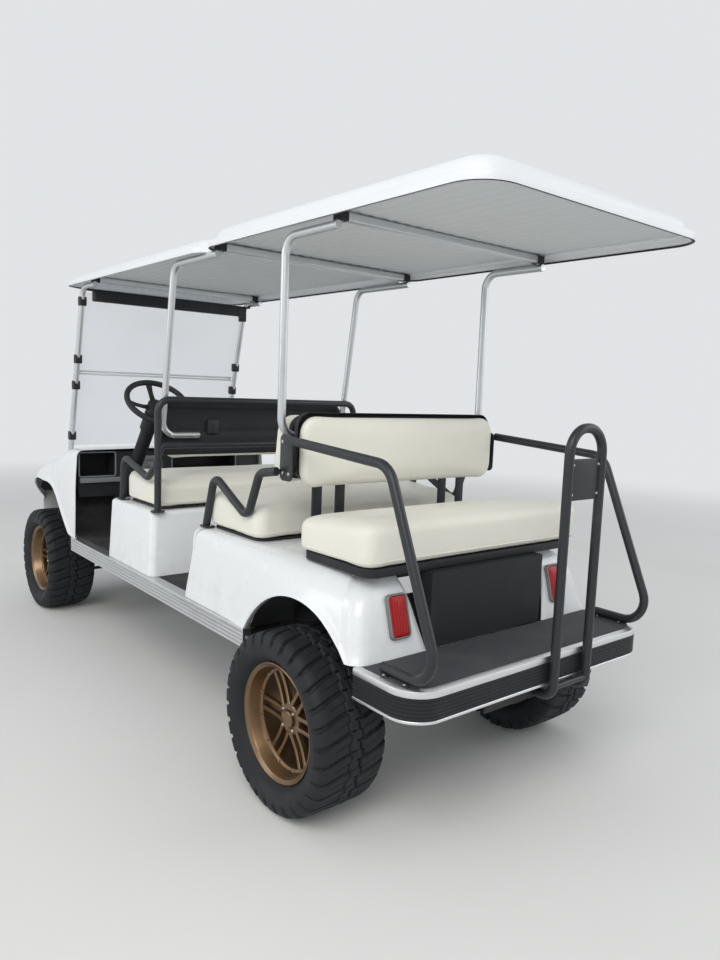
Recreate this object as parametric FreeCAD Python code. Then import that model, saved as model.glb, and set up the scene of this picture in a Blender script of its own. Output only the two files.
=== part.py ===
"""Six-seat golf cart with a long roof, raised suspension and a rear-facing bench.

Millimetres. +Z is up, the cart faces -Y and its left side is +X. The origin lies on the
ground, midway between the bumper face and the roof's rear edge. Stations along the cart
are measured rearwards from the front axle or from the rear axle.
"""
import FreeCAD
import Part
import math
import os

# Driving dimensions of the whole cart
WHEELBASE = 2600.0
FRONT_OVERHANG = 390.0
REAR_OVERHANG = 655.0
FRONT_AXLE_Y = FRONT_OVERHANG - (FRONT_OVERHANG + WHEELBASE + REAR_OVERHANG) / 2
REAR_AXLE_Y = FRONT_AXLE_Y + WHEELBASE

# Clearances
SEAT_GAP = 0.3
PIN_GAP = 0.3
RUNNING_GAP = 6.0

# Wheels and tyres, along the wheel's own axle
TYRE_R = 288.0
TYRE_W = 252.0
BEAD_R = 178.0
RIM_LIP_R = 189.0
RIM_W = 200.0
RIM_WALL = 5.0
LIP_T = 8.0
DISH_DEPTH = 52.0
DISH_R = 156.0
SPOKE_PAIRS = 6
WHEEL_SIDES = 36
HUB_SIDES = 24
SPOKE_W = 13.0
SPOKE_T = 16.0
SPOKE_PITCH = 36.0
HUB_R = 50.0
HUB_IN = 22.0
CAP_R = 27.0
SPINDLE_R = 16.0
SPINDLE_IN_HUB = 40.0
FRONT_TRACK = 982.0
REAR_TRACK = 1066.0

# Chassis frame
FLOOR_Z = 512.0
FLOOR_T = 10.0
RAIL_X = 190.0
RAIL_W = 50.0
RAIL_H = 90.0
RAIL_FRONT = 330.0
RAIL_REAR = 480.0
CROSS_W = 40.0
CROSS_H = 40.0
END_PLATE_T = 8.0

# Axles, springs and steering
AXLE_BEAM = 50.0
KINGPIN_INSET = 61.0
KINGPIN_X = FRONT_TRACK / 2 - KINGPIN_INSET
KINGPIN_R = 10.0
BOSS_R = 24.0
BOSS_H = 84.0
EAR_T = 16.0
EAR_GAP = 1.0
STEER_ARM = 100.0
TIE_ROD_R = 9.0
TIE_PIN_R = 6.0
TIE_EYE_R = 15.0
TIE_EYE_H = 20.0
REAR_TUBE_R = 38.0
DIFF_R = 112.0
LEAF_W = 46.0
LEAF_T = 18.0
LEAF_REACH = 265.0
LEAF_DROP = 44.0
EYE_R = 17.0
WHEEL_X = 285.0
COLUMN_TILT = 51.0
COLUMN_R = 34.0
SHAFT_R = 9.0
STEER_WHEEL_R = 165.0
STEER_RIM_R = 14.0
STEER_Y = 930.0
STEER_Z = 1232.0

# Body shells
CORNER_STEPS = 5
BODY_HALF = 590.0
BODY_WALL = 5.0
ROCKER_STEP = 10.0
ROCKER_OUT = BODY_HALF + ROCKER_STEP
ROCKER_H = 68.0
DOOR_Y = 600.0
WELL_X = 222.0
POD_FRONT = 1051.0
POD_REAR = 1545.0
POD_TOP_Z = 778.0
POD_TOP_HALF = 548.0
POD_FRONT_LEAN = 58.0
POD_REAR_LEAN = 66.0
REAR_BODY_FRONT = 740.0
TAIL_Y = 298.0
TAIL_TOP_Y = 238.0
TAIL_TOP_Z = 758.0
REAR_TOP_Z = 784.0
ARCH_R = 290.0
ARCH_Z = 390.0
REAR_WELL_X = 385.0
PANEL_HALF = 268.0
PANEL_HALF_LOW = 283.0
PANEL_HALF_TOP = 338.0
LINER_T = 4.0

LAMP_X = 330.0
LAMP_HALF = 70.0
LAMP_RISE = 36.0
LAMP_Z = 648.0

# Footplate at the tail
PLATE_HALF = 558.0
PLATE_REAR = 538.0
PLATE_FRONT = 282.0
PLATE_TOP_Z = 541.0
PLATE_LOW_Z = 450.0
PLATE_CORNER_R = 100.0
MAT_T = 5.0
TRIM_T = 8.0

# Seats
BENCH_HALF = 504.0
BENCH_LOW_Z = 788.0
BENCH_H = 146.0
BENCH_CORNER_R = 45.0
REAR_BENCH_LOW_Z = 812.0
FRONT_BENCH_Y = (1083.0, 1440.0)
MIDDLE_BENCH_Y = (-700.0, -330.0)
REAR_BENCH_Y = (-96.0, 272.0)
PAD_T = 58.0
PAD_HALF = 458.0
PAD_LOW_Z = 1000.0
PAD_H = 236.0
SHELL_T = 6.0
PAD_LEAN = 8.0

# Tubes
TUBE_SIDES = 12
BEND_STEP = 30.0
TUBE_R = 15.0
POST_X = 525.0
POST_Y = 1478.0
TOP_BAR_Z = 1258.0
LOW_BAR_Z = 1063.0
STRUT_R = 14.0
STRUT_X = 483.0
STRUT_TOP_Z = 1812.0
STRUT_REAR = -236.0
STRUT_FOOT_Z = 1166.0
LOOP_Z = 1104.0
LOOP_LEAN = math.atan2(108, STRUT_TOP_Z - LOOP_Z)
LOOP_Y = POST_Y - (STRUT_R + TUBE_R + (TOP_BAR_Z - LOOP_Z) * math.sin(LOOP_LEAN)) / math.cos(LOOP_LEAN)
HANDRAIL_X = 510.0

# Windshield
GLASS_LOW_Y = 226.0
GLASS_LOW_Z = 960.0
GLASS_SLOPE = (440 - GLASS_LOW_Y) / (STRUT_TOP_Z - GLASS_LOW_Z)
GLASS_HALF = 495.0
PANE_JOINT_Z = 1370.0

# Roof
ROOF_FRONT = 222.0
ROOF_JOINT = 1828.0
ROOF_HALF = 526.0
ROOF_LOW_Z = 1830.0
ROOF_TOP_Z = 1912.0
ROOF_WALL = 5.0
ROOF_CORNER_R = 110.0
ROOF_LAP = 40.0
ROOF_STEP = 14.0
CROSS_BAR_H = 26.0
BAR_END = 3.0


def V(x, y, z):
    return FreeCAD.Vector(x, y, z)


def fy(station):
    """Place along the cart, measured rearwards from the front axle."""
    return FRONT_AXLE_Y + station


def ry(station):
    """Place along the cart, measured rearwards from the rear axle."""
    return REAR_AXLE_Y + station


def block(x0, x1, y0, y1, z0, z1):
    return Part.makeBox(x1 - x0, y1 - y0, z1 - z0, V(x0, y0, z0))


def rod(start, end, radius):
    """Round bar between two points."""
    axis = end.sub(start)
    return Part.makeCylinder(radius, axis.Length, start, axis)


def drum(start, end, radius):
    """Round housing between two points, with many flats."""
    axis = end.sub(start)
    return turned([(0, 0), (0, radius), (axis.Length, radius), (axis.Length, 0)], start,
                  V(*axis).normalize(), HUB_SIDES)


def mirrored(shape):
    return shape.mirror(V(0, 0, 0), V(1, 0, 0))


def both(shape):
    return [shape, mirrored(shape)]


def fused(shapes):
    whole = shapes[0].fuse(shapes[1:]) if len(shapes) > 1 else shapes[0]
    whole = whole.removeSplitter()
    return whole.Solids[0] if len(whole.Solids) == 1 else whole


def save(node, *shapes):
    """Write one node as the separate solids of the given shapes."""
    solids = [solid for shape in shapes for solid in shape.Solids]
    whole = Part.makeCompound(solids) if len(solids) > 1 else solids[0]
    whole.exportStep("parts/" + node + ".step")


def corner(before, point, after, radius):
    """Start, middle and end of the arc that rounds one corner."""
    back = before.sub(point).normalize()
    ahead = after.sub(point).normalize()
    half = back.getAngle(ahead) / 2
    cut = radius / math.tan(half)
    inward = back.add(ahead).normalize()
    middle = point.add(inward.multiply(radius / math.sin(half) - radius))
    return point.add(back.multiply(cut)), middle, point.add(ahead.multiply(cut))


def rounded_edges(points, radii, closed):
    """Lines and arcs through the points, each corner rounded by its radius."""
    count = len(points)
    stops = []
    for i, point in enumerate(points):
        ends = not closed and i in (0, count - 1)
        if ends or radii[i] == 0:
            stops.append((point,))
        else:
            stops.append(corner(points[i - 1], point, points[(i + 1) % count], radii[i]))
    edges = []
    for i, stop in enumerate(stops):
        if len(stop) == 3:
            edges.append(Part.Arc(*stop).toShape())
        if i + 1 < count or closed:
            start, end = stop[-1], stops[(i + 1) % count][0]
            if start.distanceToPoint(end) > 0.001:
                edges.append(Part.LineSegment(start, end).toShape())
    return edges


def outline(rows, place):
    """Closed wire through rows of (u, v, corner radius)."""
    points = [place(u, v) for u, v, radius in rows]
    return Part.Wire(rounded_edges(points, [row[2] for row in rows], True))


def stepped(rows, place):
    """Closed polygon through rows of (u, v, corner radius), each corner in a few steps."""
    points = [place(u, v) for u, v, radius in rows]
    path = []
    for i, (u, v, radius) in enumerate(rows):
        if radius == 0:
            path.append(points[i])
            continue
        start, middle, end = corner(points[i - 1], points[i], points[(i + 1) % len(rows)], radius)
        back = start.sub(points[i]).normalize()
        ahead = end.sub(points[i]).normalize()
        inward = back.add(ahead).normalize()
        centre = points[i] + inward * (radius / math.sin(back.getAngle(ahead) / 2))
        turn = start.sub(centre).getAngle(end.sub(centre))
        axis = start.sub(centre).cross(end.sub(centre))
        for k in range(CORNER_STEPS + 1):
            spin = FreeCAD.Rotation(axis, math.degrees(turn) * k / CORNER_STEPS)
            path.append(centre + spin.multVec(start.sub(centre)))
    return Part.makePolygon(path + path[:1])


def profile_x(rows, x0, x1):
    """Rows of (y, z, corner radius) extruded along X."""
    face = Part.Face(outline(rows, lambda y, z: V(x0, y, z)))
    return face.extrude(V(x1 - x0, 0, 0))


def profile_y(rows, y0, y1):
    """Rows of (x, z, corner radius) extruded along Y."""
    face = Part.Face(outline(rows, lambda x, z: V(x, y0, z)))
    return face.extrude(V(0, y1 - y0, 0))


def profile_z(rows, z0, z1):
    """Rows of (x, y, corner radius) extruded along Z."""
    face = Part.Face(outline(rows, lambda x, y: V(x, y, z0)))
    return face.extrude(V(0, 0, z1 - z0))


def ring(centre, along, radius):
    """Corners of one cross-section of a tube, square to its run."""
    side = along.cross(V(0, 0, 1) if abs(along.z) < 0.9 else V(1, 0, 0)).normalize()
    up = side.cross(along)
    turns = [2 * math.pi * i / TUBE_SIDES for i in range(TUBE_SIDES)]
    points = [centre + side * (radius * math.cos(turn)) + up * (radius * math.sin(turn))
              for turn in turns]
    return Part.makePolygon(points + points[:1])


def tube(points, bend, radius):
    """Tube, filled, with many flats: straight runs joined by bends of one radius."""
    section = ring(points[0], points[1].sub(points[0]).normalize(), radius)
    sections = [section]
    start = points[0]
    for i in range(1, len(points) - 1):
        first, middle, last = corner(points[i - 1], points[i], points[i + 1], bend)
        along = points[i].sub(points[i - 1]).normalize()
        onward = points[i + 1].sub(points[i]).normalize()
        turn = math.degrees(along.getAngle(onward))
        axis = along.cross(onward)
        centre = first + axis.cross(along).normalize() * bend
        section = section.translated(first.sub(start))
        sections.append(section)
        steps = max(1, round(turn / BEND_STEP))
        for k in range(steps):
            section = section.copy()
            section.rotate(centre, axis, turn / steps)
            sections.append(section)
        start = last
    sections.append(section.translated(points[-1].sub(start)))
    return Part.makeLoft(sections, True, True)


def turned(rows, centre, axis, sides):
    """Closed profile, as rows of (along, radius), turned round an axis with many flats."""
    up = (V(1, 0, 0) if abs(axis.x) < 0.5 else V(0, 0, 1))
    cross = up.cross(axis)
    turns = [2 * math.pi * i / sides for i in range(sides)]
    spokes = [up * math.cos(turn) + cross * math.sin(turn) for turn in turns]
    faces = []
    for i, spoke in enumerate(spokes):
        onward = spokes[(i + 1) % sides]
        for j, (along, radius) in enumerate(rows):
            after, wide = rows[(j + 1) % len(rows)]
            near, far = centre + axis * along, centre + axis * after
            points = [near + spoke * radius, near + onward * radius, far + onward * wide,
                      far + spoke * wide]
            points = [points[k] for k in range(4) if points[k].distanceToPoint(points[k - 1]) > 0.001]
            if len(points) > 2:
                faces.append(Part.Face(Part.makePolygon(points + points[:1])))
    solid = Part.Solid(Part.Shell(faces))
    return solid if solid.Volume > 0 else solid.reversed()


def body_section(y, low_half, top_half, low_z, top_z, radius, crown):
    """Cross-section of a body shell: leaning sides, rounded shoulders, crowned top."""
    rows = [(low_half, low_z, 0), (top_half, top_z, radius), (0, top_z + crown, 0),
            (-top_half, top_z, radius), (-low_half, low_z, 0)]
    return stepped(rows, lambda x, z: V(x, y, z))


def body_loft(stations, inset, low_drop):
    """Loft through rows of (y, low half, top half, low z, top z, radius, crown)."""
    wires = [body_section(y, low - inset, top - inset, low_z - low_drop, top_z - inset,
                          radius - inset, crown)
             for y, low, top, low_z, top_z, radius, crown in stations]
    return Part.makeLoft(wires, True, True)


def make_tyre(side):
    """Tyre with a flat tread, square shoulders and a bead on the rim."""
    half = TYRE_W / 2
    bead = RIM_W / 2 - LIP_T - SEAT_GAP
    side_rows = [(bead, BEAD_R + SEAT_GAP), (bead, RIM_LIP_R + 2), (half - 6, RIM_LIP_R + 24),
                 (half, TYRE_R - 52), (half - 16, TYRE_R - 12), (half - 34, TYRE_R)]
    rows = side_rows + [(-along, radius) for along, radius in reversed(side_rows)]
    return turned(rows, V(0, 0, 0), V(side, 0, 0), WHEEL_SIDES)


def make_rim(side):
    """Deep-dish wheel: barrel with two lips, dish ring, paired spokes and a hub."""
    lip = RIM_W / 2
    dish = lip - DISH_DEPTH
    back = dish - SPOKE_T
    barrel = [(lip, RIM_LIP_R), (lip - LIP_T, RIM_LIP_R), (lip - LIP_T, BEAD_R), (-lip + LIP_T, BEAD_R),
              (-lip + LIP_T, RIM_LIP_R), (-lip, RIM_LIP_R), (-lip, BEAD_R - RIM_WALL),
              (back, DISH_R + RIM_WALL), (back, DISH_R), (dish, DISH_R), (lip, BEAD_R + RIM_WALL)]
    hub = [(-HUB_IN, SPINDLE_R + PIN_GAP), (-HUB_IN, HUB_R), (dish - 2, HUB_R), (dish - 2, CAP_R),
           (dish + 8, CAP_R - 3), (dish + 8, 0), (SPINDLE_IN_HUB - HUB_IN, 0),
           (SPINDLE_IN_HUB - HUB_IN, SPINDLE_R + PIN_GAP)]
    axis = V(1, 0, 0)
    pieces = [turned(barrel, V(0, 0, 0), axis, WHEEL_SIDES), turned(hub, V(0, 0, 0), axis, HUB_SIDES)]
    for i in range(SPOKE_PAIRS):
        for offset in (-SPOKE_PITCH / 2, SPOKE_PITCH / 2):
            spoke = block(back, dish - 1, offset - SPOKE_W / 2, offset + SPOKE_W / 2, HUB_R - 14,
                          DISH_R + 2)
            spoke.rotate(V(0, 0, 0), axis, i * 360 / SPOKE_PAIRS)
            pieces.append(spoke)
    wheel = fused(pieces)
    return wheel if side > 0 else mirrored(wheel)


def wheel_centre(side, end):
    track = FRONT_TRACK if end == "front" else REAR_TRACK
    return V(side * track / 2, FRONT_AXLE_Y if end == "front" else REAR_AXLE_Y, TYRE_R)


def make_wheels():
    for end in ("front", "rear"):
        for side, word in ((1, "left"), (-1, "right")):
            place = wheel_centre(side, end)
            tyre = make_tyre(side)
            rim = make_rim(side)
            tyre.translate(place)
            rim.translate(place)
            save("tyre_" + end + "_" + word, tyre)
            save("rim_" + end + "_" + word, rim)


def make_chassis():
    """Two box rails with cross members that carry floor and footplate."""
    top = FLOOR_Z - FLOOR_T
    rails = [block(x - RAIL_W / 2, x + RAIL_W / 2, fy(-RAIL_FRONT), ry(RAIL_REAR), top - RAIL_H, top)
             for x in (-RAIL_X, RAIL_X)]
    side = ROCKER_OUT - 50
    # Columns: half length, station, from which axle
    members = [(RAIL_X, -RAIL_FRONT, fy), (side, 590, fy), (side, 1070, fy), (side, 1500, fy),
               (side, -700, ry), (side, -330, ry), (RAIL_X, 0, ry), (side - 60, 320, ry),
               (side - 60, 440, ry)]
    bars = [block(-half, half, place(y), place(y) + CROSS_W, top - CROSS_H, top)
            for half, y, place in members]
    end_plate = block(-RAIL_X - 30, RAIL_X + 30, ry(RAIL_REAR), ry(RAIL_REAR) + END_PLATE_T,
                      top - RAIL_H - 16, top - 60)
    save("chassis_frame", fused(rails + bars + [end_plate]))


def leaf_spring(x, centre_y, seat_z):
    """Bowed leaf on a lift block, hung from two eyes under the frame rail."""
    eye_z = FLOOR_Z - FLOOR_T - RAIL_H - EYE_R
    low = eye_z - LEAF_DROP
    half = LEAF_T / 2
    ends = (centre_y - LEAF_REACH, centre_y + LEAF_REACH)
    top = Part.Arc(V(x, ends[0], eye_z + half), V(x, centre_y, low + half), V(x, ends[1], eye_z + half))
    bottom = Part.Arc(V(x, ends[0], eye_z - half), V(x, centre_y, low - half),
                      V(x, ends[1], eye_z - half))
    rims = [Part.LineSegment(V(x, end, eye_z - half), V(x, end, eye_z + half)) for end in ends]
    wire = Part.Wire([top.toShape(), rims[1].toShape(), bottom.toShape(), rims[0].toShape()])
    leaf = Part.Face(wire).extrude(V(LEAF_W, 0, 0))
    pieces = [leaf]
    for end in ends:
        pieces.append(Part.Face(ring(V(x, end, eye_z), V(1, 0, 0), EYE_R)).extrude(V(LEAF_W, 0, 0)))
    pieces.append(block(x, x + LEAF_W, centre_y - 40, centre_y + 40, seat_z, low))
    return fused(pieces)


def make_running_gear():
    """Front beam, rear axle with its gear case and motor, and the leaf springs."""
    beam_top = TYRE_R + AXLE_BEAM / 2
    beam = block(-KINGPIN_X, KINGPIN_X, fy(-AXLE_BEAM / 2), fy(AXLE_BEAM / 2),
                 TYRE_R - AXLE_BEAM / 2, beam_top)
    bosses = [Part.makeCylinder(BOSS_R, BOSS_H, V(x, FRONT_AXLE_Y, TYRE_R - BOSS_H / 2))
              for x in (-KINGPIN_X, KINGPIN_X)]
    holes = [Part.makeCylinder(KINGPIN_R + PIN_GAP, BOSS_H, V(x, FRONT_AXLE_Y, TYRE_R - BOSS_H / 2))
             for x in (-KINGPIN_X, KINGPIN_X)]
    save("front_axle", fused([beam] + bosses).cut(holes))
    hub_in = REAR_TRACK / 2 - HUB_IN
    axle = rod(V(-hub_in + 12, REAR_AXLE_Y, TYRE_R), V(hub_in - 12, REAR_AXLE_Y, TYRE_R), REAR_TUBE_R)
    spindle_end = hub_in + SPINDLE_IN_HUB - 4
    spindle = rod(V(-spindle_end, REAR_AXLE_Y, TYRE_R), V(spindle_end, REAR_AXLE_Y, TYRE_R), SPINDLE_R)
    drums = [drum(V(s * (hub_in - 40), REAR_AXLE_Y, TYRE_R),
                  V(s * (hub_in - RUNNING_GAP), REAR_AXLE_Y, TYRE_R), 88)
             for s in (-1, 1)]
    case = drum(V(20, REAR_AXLE_Y, TYRE_R), V(120, REAR_AXLE_Y, TYRE_R), DIFF_R)
    motor = drum(V(-150, ry(-96), TYRE_R + 30), V(60, ry(-96), TYRE_R + 30), 82)
    save("rear_axle", fused([axle, spindle, case, motor] + drums))
    springs = []
    for x in (RAIL_X, -RAIL_X):
        springs.append(leaf_spring(x - LEAF_W / 2, FRONT_AXLE_Y, beam_top + SEAT_GAP))
        springs.append(leaf_spring(x - LEAF_W / 2, REAR_AXLE_Y, TYRE_R + REAR_TUBE_R + SEAT_GAP))
    save("leaf_springs", *springs)


def make_knuckle():
    """Left knuckle: two ears round the beam's boss, spindle and steering arm."""
    y = FRONT_AXLE_Y
    ear_low = TYRE_R - BOSS_H / 2 - EAR_GAP - EAR_T
    ear_high = TYRE_R + BOSS_H / 2 + EAR_GAP
    web_in = KINGPIN_X + BOSS_R + EAR_GAP * 4
    web_out = FRONT_TRACK / 2 - HUB_IN - RUNNING_GAP + 2
    pieces = []
    for z in (ear_low, ear_high):
        pieces.append(Part.makeCylinder(BOSS_R, EAR_T, V(KINGPIN_X, y, z)))
        pieces.append(block(KINGPIN_X, web_out, y - BOSS_R, y + BOSS_R, z, z + EAR_T))
    pieces.append(block(web_in, web_out, y - BOSS_R, y + BOSS_R, ear_low, ear_high + EAR_T))
    pieces.append(Part.makeCylinder(KINGPIN_R, ear_high - ear_low, V(KINGPIN_X, y, ear_low)))
    spindle_end = FRONT_TRACK / 2 - HUB_IN + SPINDLE_IN_HUB - 4
    pieces.append(rod(V(web_in, y, TYRE_R), V(spindle_end, y, TYRE_R), SPINDLE_R))
    arm_half = TIE_EYE_R
    pieces.append(block(KINGPIN_X - arm_half, KINGPIN_X + arm_half, y, y + STEER_ARM, ear_low,
                        ear_low + EAR_T))
    pieces.append(Part.makeCylinder(arm_half, EAR_T, V(KINGPIN_X, y + STEER_ARM, ear_low)))
    pin_low = ear_low - TIE_EYE_H - 4
    pieces.append(Part.makeCylinder(TIE_PIN_R, ear_low - pin_low, V(KINGPIN_X, y + STEER_ARM, pin_low)))
    return fused(pieces)


def make_steering():
    """Knuckles, tie rod, column with its dash sleeve, steering wheel and pedals."""
    knuckle = make_knuckle()
    save("knuckle_left", knuckle)
    right = mirrored(knuckle)
    save("knuckle_right", right)
    y = fy(STEER_ARM)
    eye_high = TYRE_R - BOSS_H / 2 - EAR_GAP - EAR_T - 2
    eye_low = eye_high - TIE_EYE_H
    mid = eye_low + TIE_EYE_H / 2
    ends = [Part.makeCylinder(TIE_EYE_R, TIE_EYE_H, V(x, y, eye_low)) for x in (-KINGPIN_X, KINGPIN_X)]
    holes = [Part.makeCylinder(TIE_PIN_R + PIN_GAP, TIE_EYE_H, V(x, y, eye_low))
             for x in (-KINGPIN_X, KINGPIN_X)]
    bar = rod(V(-KINGPIN_X, y, mid), V(KINGPIN_X, y, mid), TIE_ROD_R)
    save("tie_rod", fused(ends + [bar]).cut(holes))
    make_column()


def column_axis():
    tilt = math.radians(COLUMN_TILT)
    return V(0, math.cos(tilt), math.sin(tilt))


def make_column():
    """Sleeved column and three-spoke steering wheel with a dished centre."""
    centre = V(WHEEL_X, fy(STEER_Y), STEER_Z)
    up = column_axis()
    boss_low = centre.sub(up * 62)
    sleeve_top = centre.sub(up * 68)
    length = 620
    wide = COLUMN_R + 10
    rows = [(0, 0), (0, COLUMN_R), (length - 110, COLUMN_R), (length - 110, wide), (length - 2, wide),
            (length - 2, 0)]
    shaft_low = centre.sub(up * 110)
    bore = rod(shaft_low.sub(up * 6), sleeve_top.add(up), SHAFT_R + PIN_GAP)
    save("steering_column", turned(rows, sleeve_top.sub(up * length), up, HUB_SIDES).cut(bore))
    grip_r = STEER_WHEEL_R - STEER_RIM_R
    grip = []
    for i in range(8):
        turn = math.radians(i * 45)
        grip.append((STEER_RIM_R * math.cos(turn), grip_r + STEER_RIM_R * math.sin(turn)))
    rows = [(-62, 0), (-62, 44), (-14, 44), (-14, 0)]
    spokes = []
    for turn in (180, 270, 360):
        spoke = ring(V(0, 0, 0), V(1, 0, 0), 10)
        spoke = Part.Face(spoke).extrude(V(grip_r - 20, 0, 0))
        spoke.rotate(V(0, 0, 0), V(0, 1, 0), math.degrees(math.atan2(-34, grip_r - 20)))
        spoke.translate(V(20, 0, -34))
        spoke.rotate(V(0, 0, 0), V(0, 0, 1), turn)
        spokes.append(spoke)
    shaft = rod(V(0, 0, -110), V(0, 0, -60), SHAFT_R)
    wheel = fused([shaft, turned(grip, V(0, 0, 0), V(0, 0, 1), 32),
                   turned(rows, V(0, 0, 0), V(0, 0, 1), 16)] + spokes)
    wheel.rotate(V(0, 0, 0), V(1, 0, 0), COLUMN_TILT - 90)
    wheel.translate(centre)
    save("steering_wheel", wheel)


def make_pedals():
    """Accelerator and brake: a pad on a bent arm each, hung from the toe board."""
    pedals = []
    for x, wide in ((170, 60), (270, 90)):
        pad = block(x - wide / 2, x + wide / 2, fy(470), fy(480), FLOOR_Z + 60, FLOOR_Z + 130)
        arm = block(x - 8, x + 8, fy(424), fy(472), FLOOR_Z + 88, FLOOR_Z + 104)
        pedals.append(fused([pad, arm]))
    save("pedals", *pedals)


def make_floor():
    """Ribbed floor sheet with the sloping toe board under the dash."""
    low = FLOOR_Z - FLOOR_T
    sheet = block(-ROCKER_OUT + 48, ROCKER_OUT - 48, fy(400), ry(-REAR_BODY_FRONT + 60), low, FLOOR_Z)
    toe_rows = [(fy(400), low, 0), (fy(424), low, 0), (fy(424), FLOOR_Z + 120, 40),
                (fy(340), FLOOR_Z + 290, 0),
                (fy(330), FLOOR_Z + 284, 0), (fy(412), FLOOR_Z + 116, 40), (fy(412), FLOOR_Z, 0), (fy(400), FLOOR_Z, 0)]
    toe = profile_x(toe_rows, -BODY_HALF + 30, BODY_HALF - 30)
    save("floor", fused([sheet, toe]))


def make_rockers():
    """Ribbed sill panels between the wheels, one a side."""
    depth = 48.0
    top = FLOOR_Z
    inner = ROCKER_OUT - depth
    rib_count = 5
    pitch = ROCKER_H / rib_count
    rows = [(inner, top - 4, 0), (inner, top, 0), (ROCKER_OUT, top, 0)]
    for i in range(rib_count):
        z = top - i * pitch
        rows += [(ROCKER_OUT, z - pitch + 3, 0), (ROCKER_OUT - 4, z - pitch + 1.5, 0)]
        if i < rib_count - 1:
            rows += [(ROCKER_OUT, z - pitch, 0)]
    rows += [(ROCKER_OUT - 10, top - ROCKER_H, 0), (ROCKER_OUT - 10, top - 4, 0)]
    panel = profile_y(rows, fy(573), ry(-262))
    save("rocker_panels", *both(panel))


def arch_rows(grow):
    """Front wheel arch in side view, from the sill's front end round to the nose."""
    return [(fy(572 + grow), FLOOR_Z - 22, 0), (fy(225), 752 + grow, 190), (fy(-190), 752 + grow, 170),
            (fy(-420), 540 + grow, 0), (fy(-420), 300, 0), (fy(572 + grow), 300, 0)]


def cowl_stations():
    """Rows of (y, low half, top half, low z, top z, radius, crown), from the door to the nose."""
    low = FLOOR_Z + SEAT_GAP
    return [(fy(DOOR_Y), BODY_HALF, 556, low, 968, 30, 6),
            (fy(240), BODY_HALF + 2, 578, low, 945, 140, 10),
            (fy(-60), BODY_HALF - 4, 564, low - 10, 850, 150, 16),
            (fy(-280), 540, 510, low - 30, 750, 130, 16), (fy(-374), 440, 400, low - 40, 660, 90, 14)]


def make_cowl():
    """Front body shell with its nose, hood and open wheel arches."""
    stations = cowl_stations()
    nose = stations[-1]
    inner = stations[:-1] + [(nose[0] + BODY_WALL,) + nose[1:]]
    shell = body_loft(stations, 0, 0)
    hollow = body_loft(inner, BODY_WALL, 30)
    wall = shell.cut(hollow)
    trim_rows = [(fy(546), 1010, 0), (fy(552), 790, 0), (fy(DOOR_Y + 1), FLOOR_Z + 10, 0),
                 (fy(DOOR_Y + 60), FLOOR_Z + 10, 0), (fy(DOOR_Y + 60), 1010, 0)]
    cuts = [profile_x(trim_rows, -700, 700)]
    cuts += both(profile_x(arch_rows(0), WELL_X, 700))
    cuts += [lamp_prism(x, 2 * SEAT_GAP, fy(-420), fy(-300)) for x in (-LAMP_X, LAMP_X)]
    cuts += both(windshield_tube(STRUT_R + SEAT_GAP))
    cowl = wall.cut(cuts)
    save("front_cowl", max(cowl.Solids, key=lambda solid: solid.Volume))
    liners = profile_x(arch_rows(LINER_T), WELL_X - LINER_T,
                       600).cut(profile_x(arch_rows(0), WELL_X, 600))
    inside = body_loft(inner, BODY_WALL + 0.5, 30)
    limit = block(0, 700, fy(-310), fy(412 - SEAT_GAP), FLOOR_Z + 6, 1000)
    liner = liners.common(inside).common(limit)
    return max(liner.Solids, key=lambda solid: solid.Volume)


def lamp_prism(x, grow, y0, y1):
    """Rounded rectangular block of one headlamp."""
    side, low, high = LAMP_HALF + grow, LAMP_Z - LAMP_RISE - grow, LAMP_Z + LAMP_RISE + grow
    return profile_y([(x - side, low, 22), (x + side, low, 22), (x + side, high, 22),
                      (x - side, high, 22)], y0, y1)


def make_dash():
    """Dash moulding with two open bins and the shroud that holds the steering column."""
    face, back = fy(520), fy(372)
    rows = [(BODY_HALF - 46, 786, 0), (BODY_HALF - 48, 954, 34), (-BODY_HALF + 48, 954, 34),
            (-BODY_HALF + 46, 786, 0)]
    moulding = profile_y(rows, back, face)
    wall = 8.0
    bins = [block(345, 536, back + wall, face + 1, 822, 948),
            block(-390, 15, back + wall, face + 1, 846, 930)]
    centre, up = V(WHEEL_X, fy(STEER_Y), STEER_Z), column_axis()
    bore = rod(centre.sub(up * 690), centre, COLUMN_R + SEAT_GAP)
    shroud_half = COLUMN_R + 26
    shroud = block(WHEEL_X - shroud_half, WHEEL_X + shroud_half, fy(432), face, 650, 790)
    skirt_rows = [(BODY_HALF - 52, 712, 0), (BODY_HALF - 46, 786, 0), (-BODY_HALF + 46, 786, 0),
                  (-BODY_HALF + 52, 712, 0)]
    skirt = profile_y(skirt_rows, face - 16, face - 6)
    room = body_loft(cowl_stations(), BODY_WALL + SEAT_GAP, 30)
    save("dashboard", fused([moulding, skirt, shroud]).cut(bins + [bore]).common(room))


def make_front_fittings():
    """Bumper bar with its two stays, and the headlamps."""
    low, high = 385.0, 462.0
    half = 400.0
    face = fy(-FRONT_OVERHANG)
    bar_rows = [(-half, face + 70, 0), (-half + 40, face, 60), (half - 40, face, 60),
                (half, face + 70, 0),
                (half - 24, face + 74, 0), (half - 52, face + 22, 40), (-half + 52, face + 22, 40), (-half + 24, face + 74, 0)]
    bar = profile_z(bar_rows, low, high)
    stays = [block(x - 20, x + 20, face + 20, fy(-RAIL_FRONT), high - 40, high)
             for x in (-RAIL_X, RAIL_X)]
    save("front_bumper", fused([bar] + stays))
    save("headlamps", *[lamp_prism(x, 0, fy(-368), fy(-320)) for x in (-LAMP_X, LAMP_X)])


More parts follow.
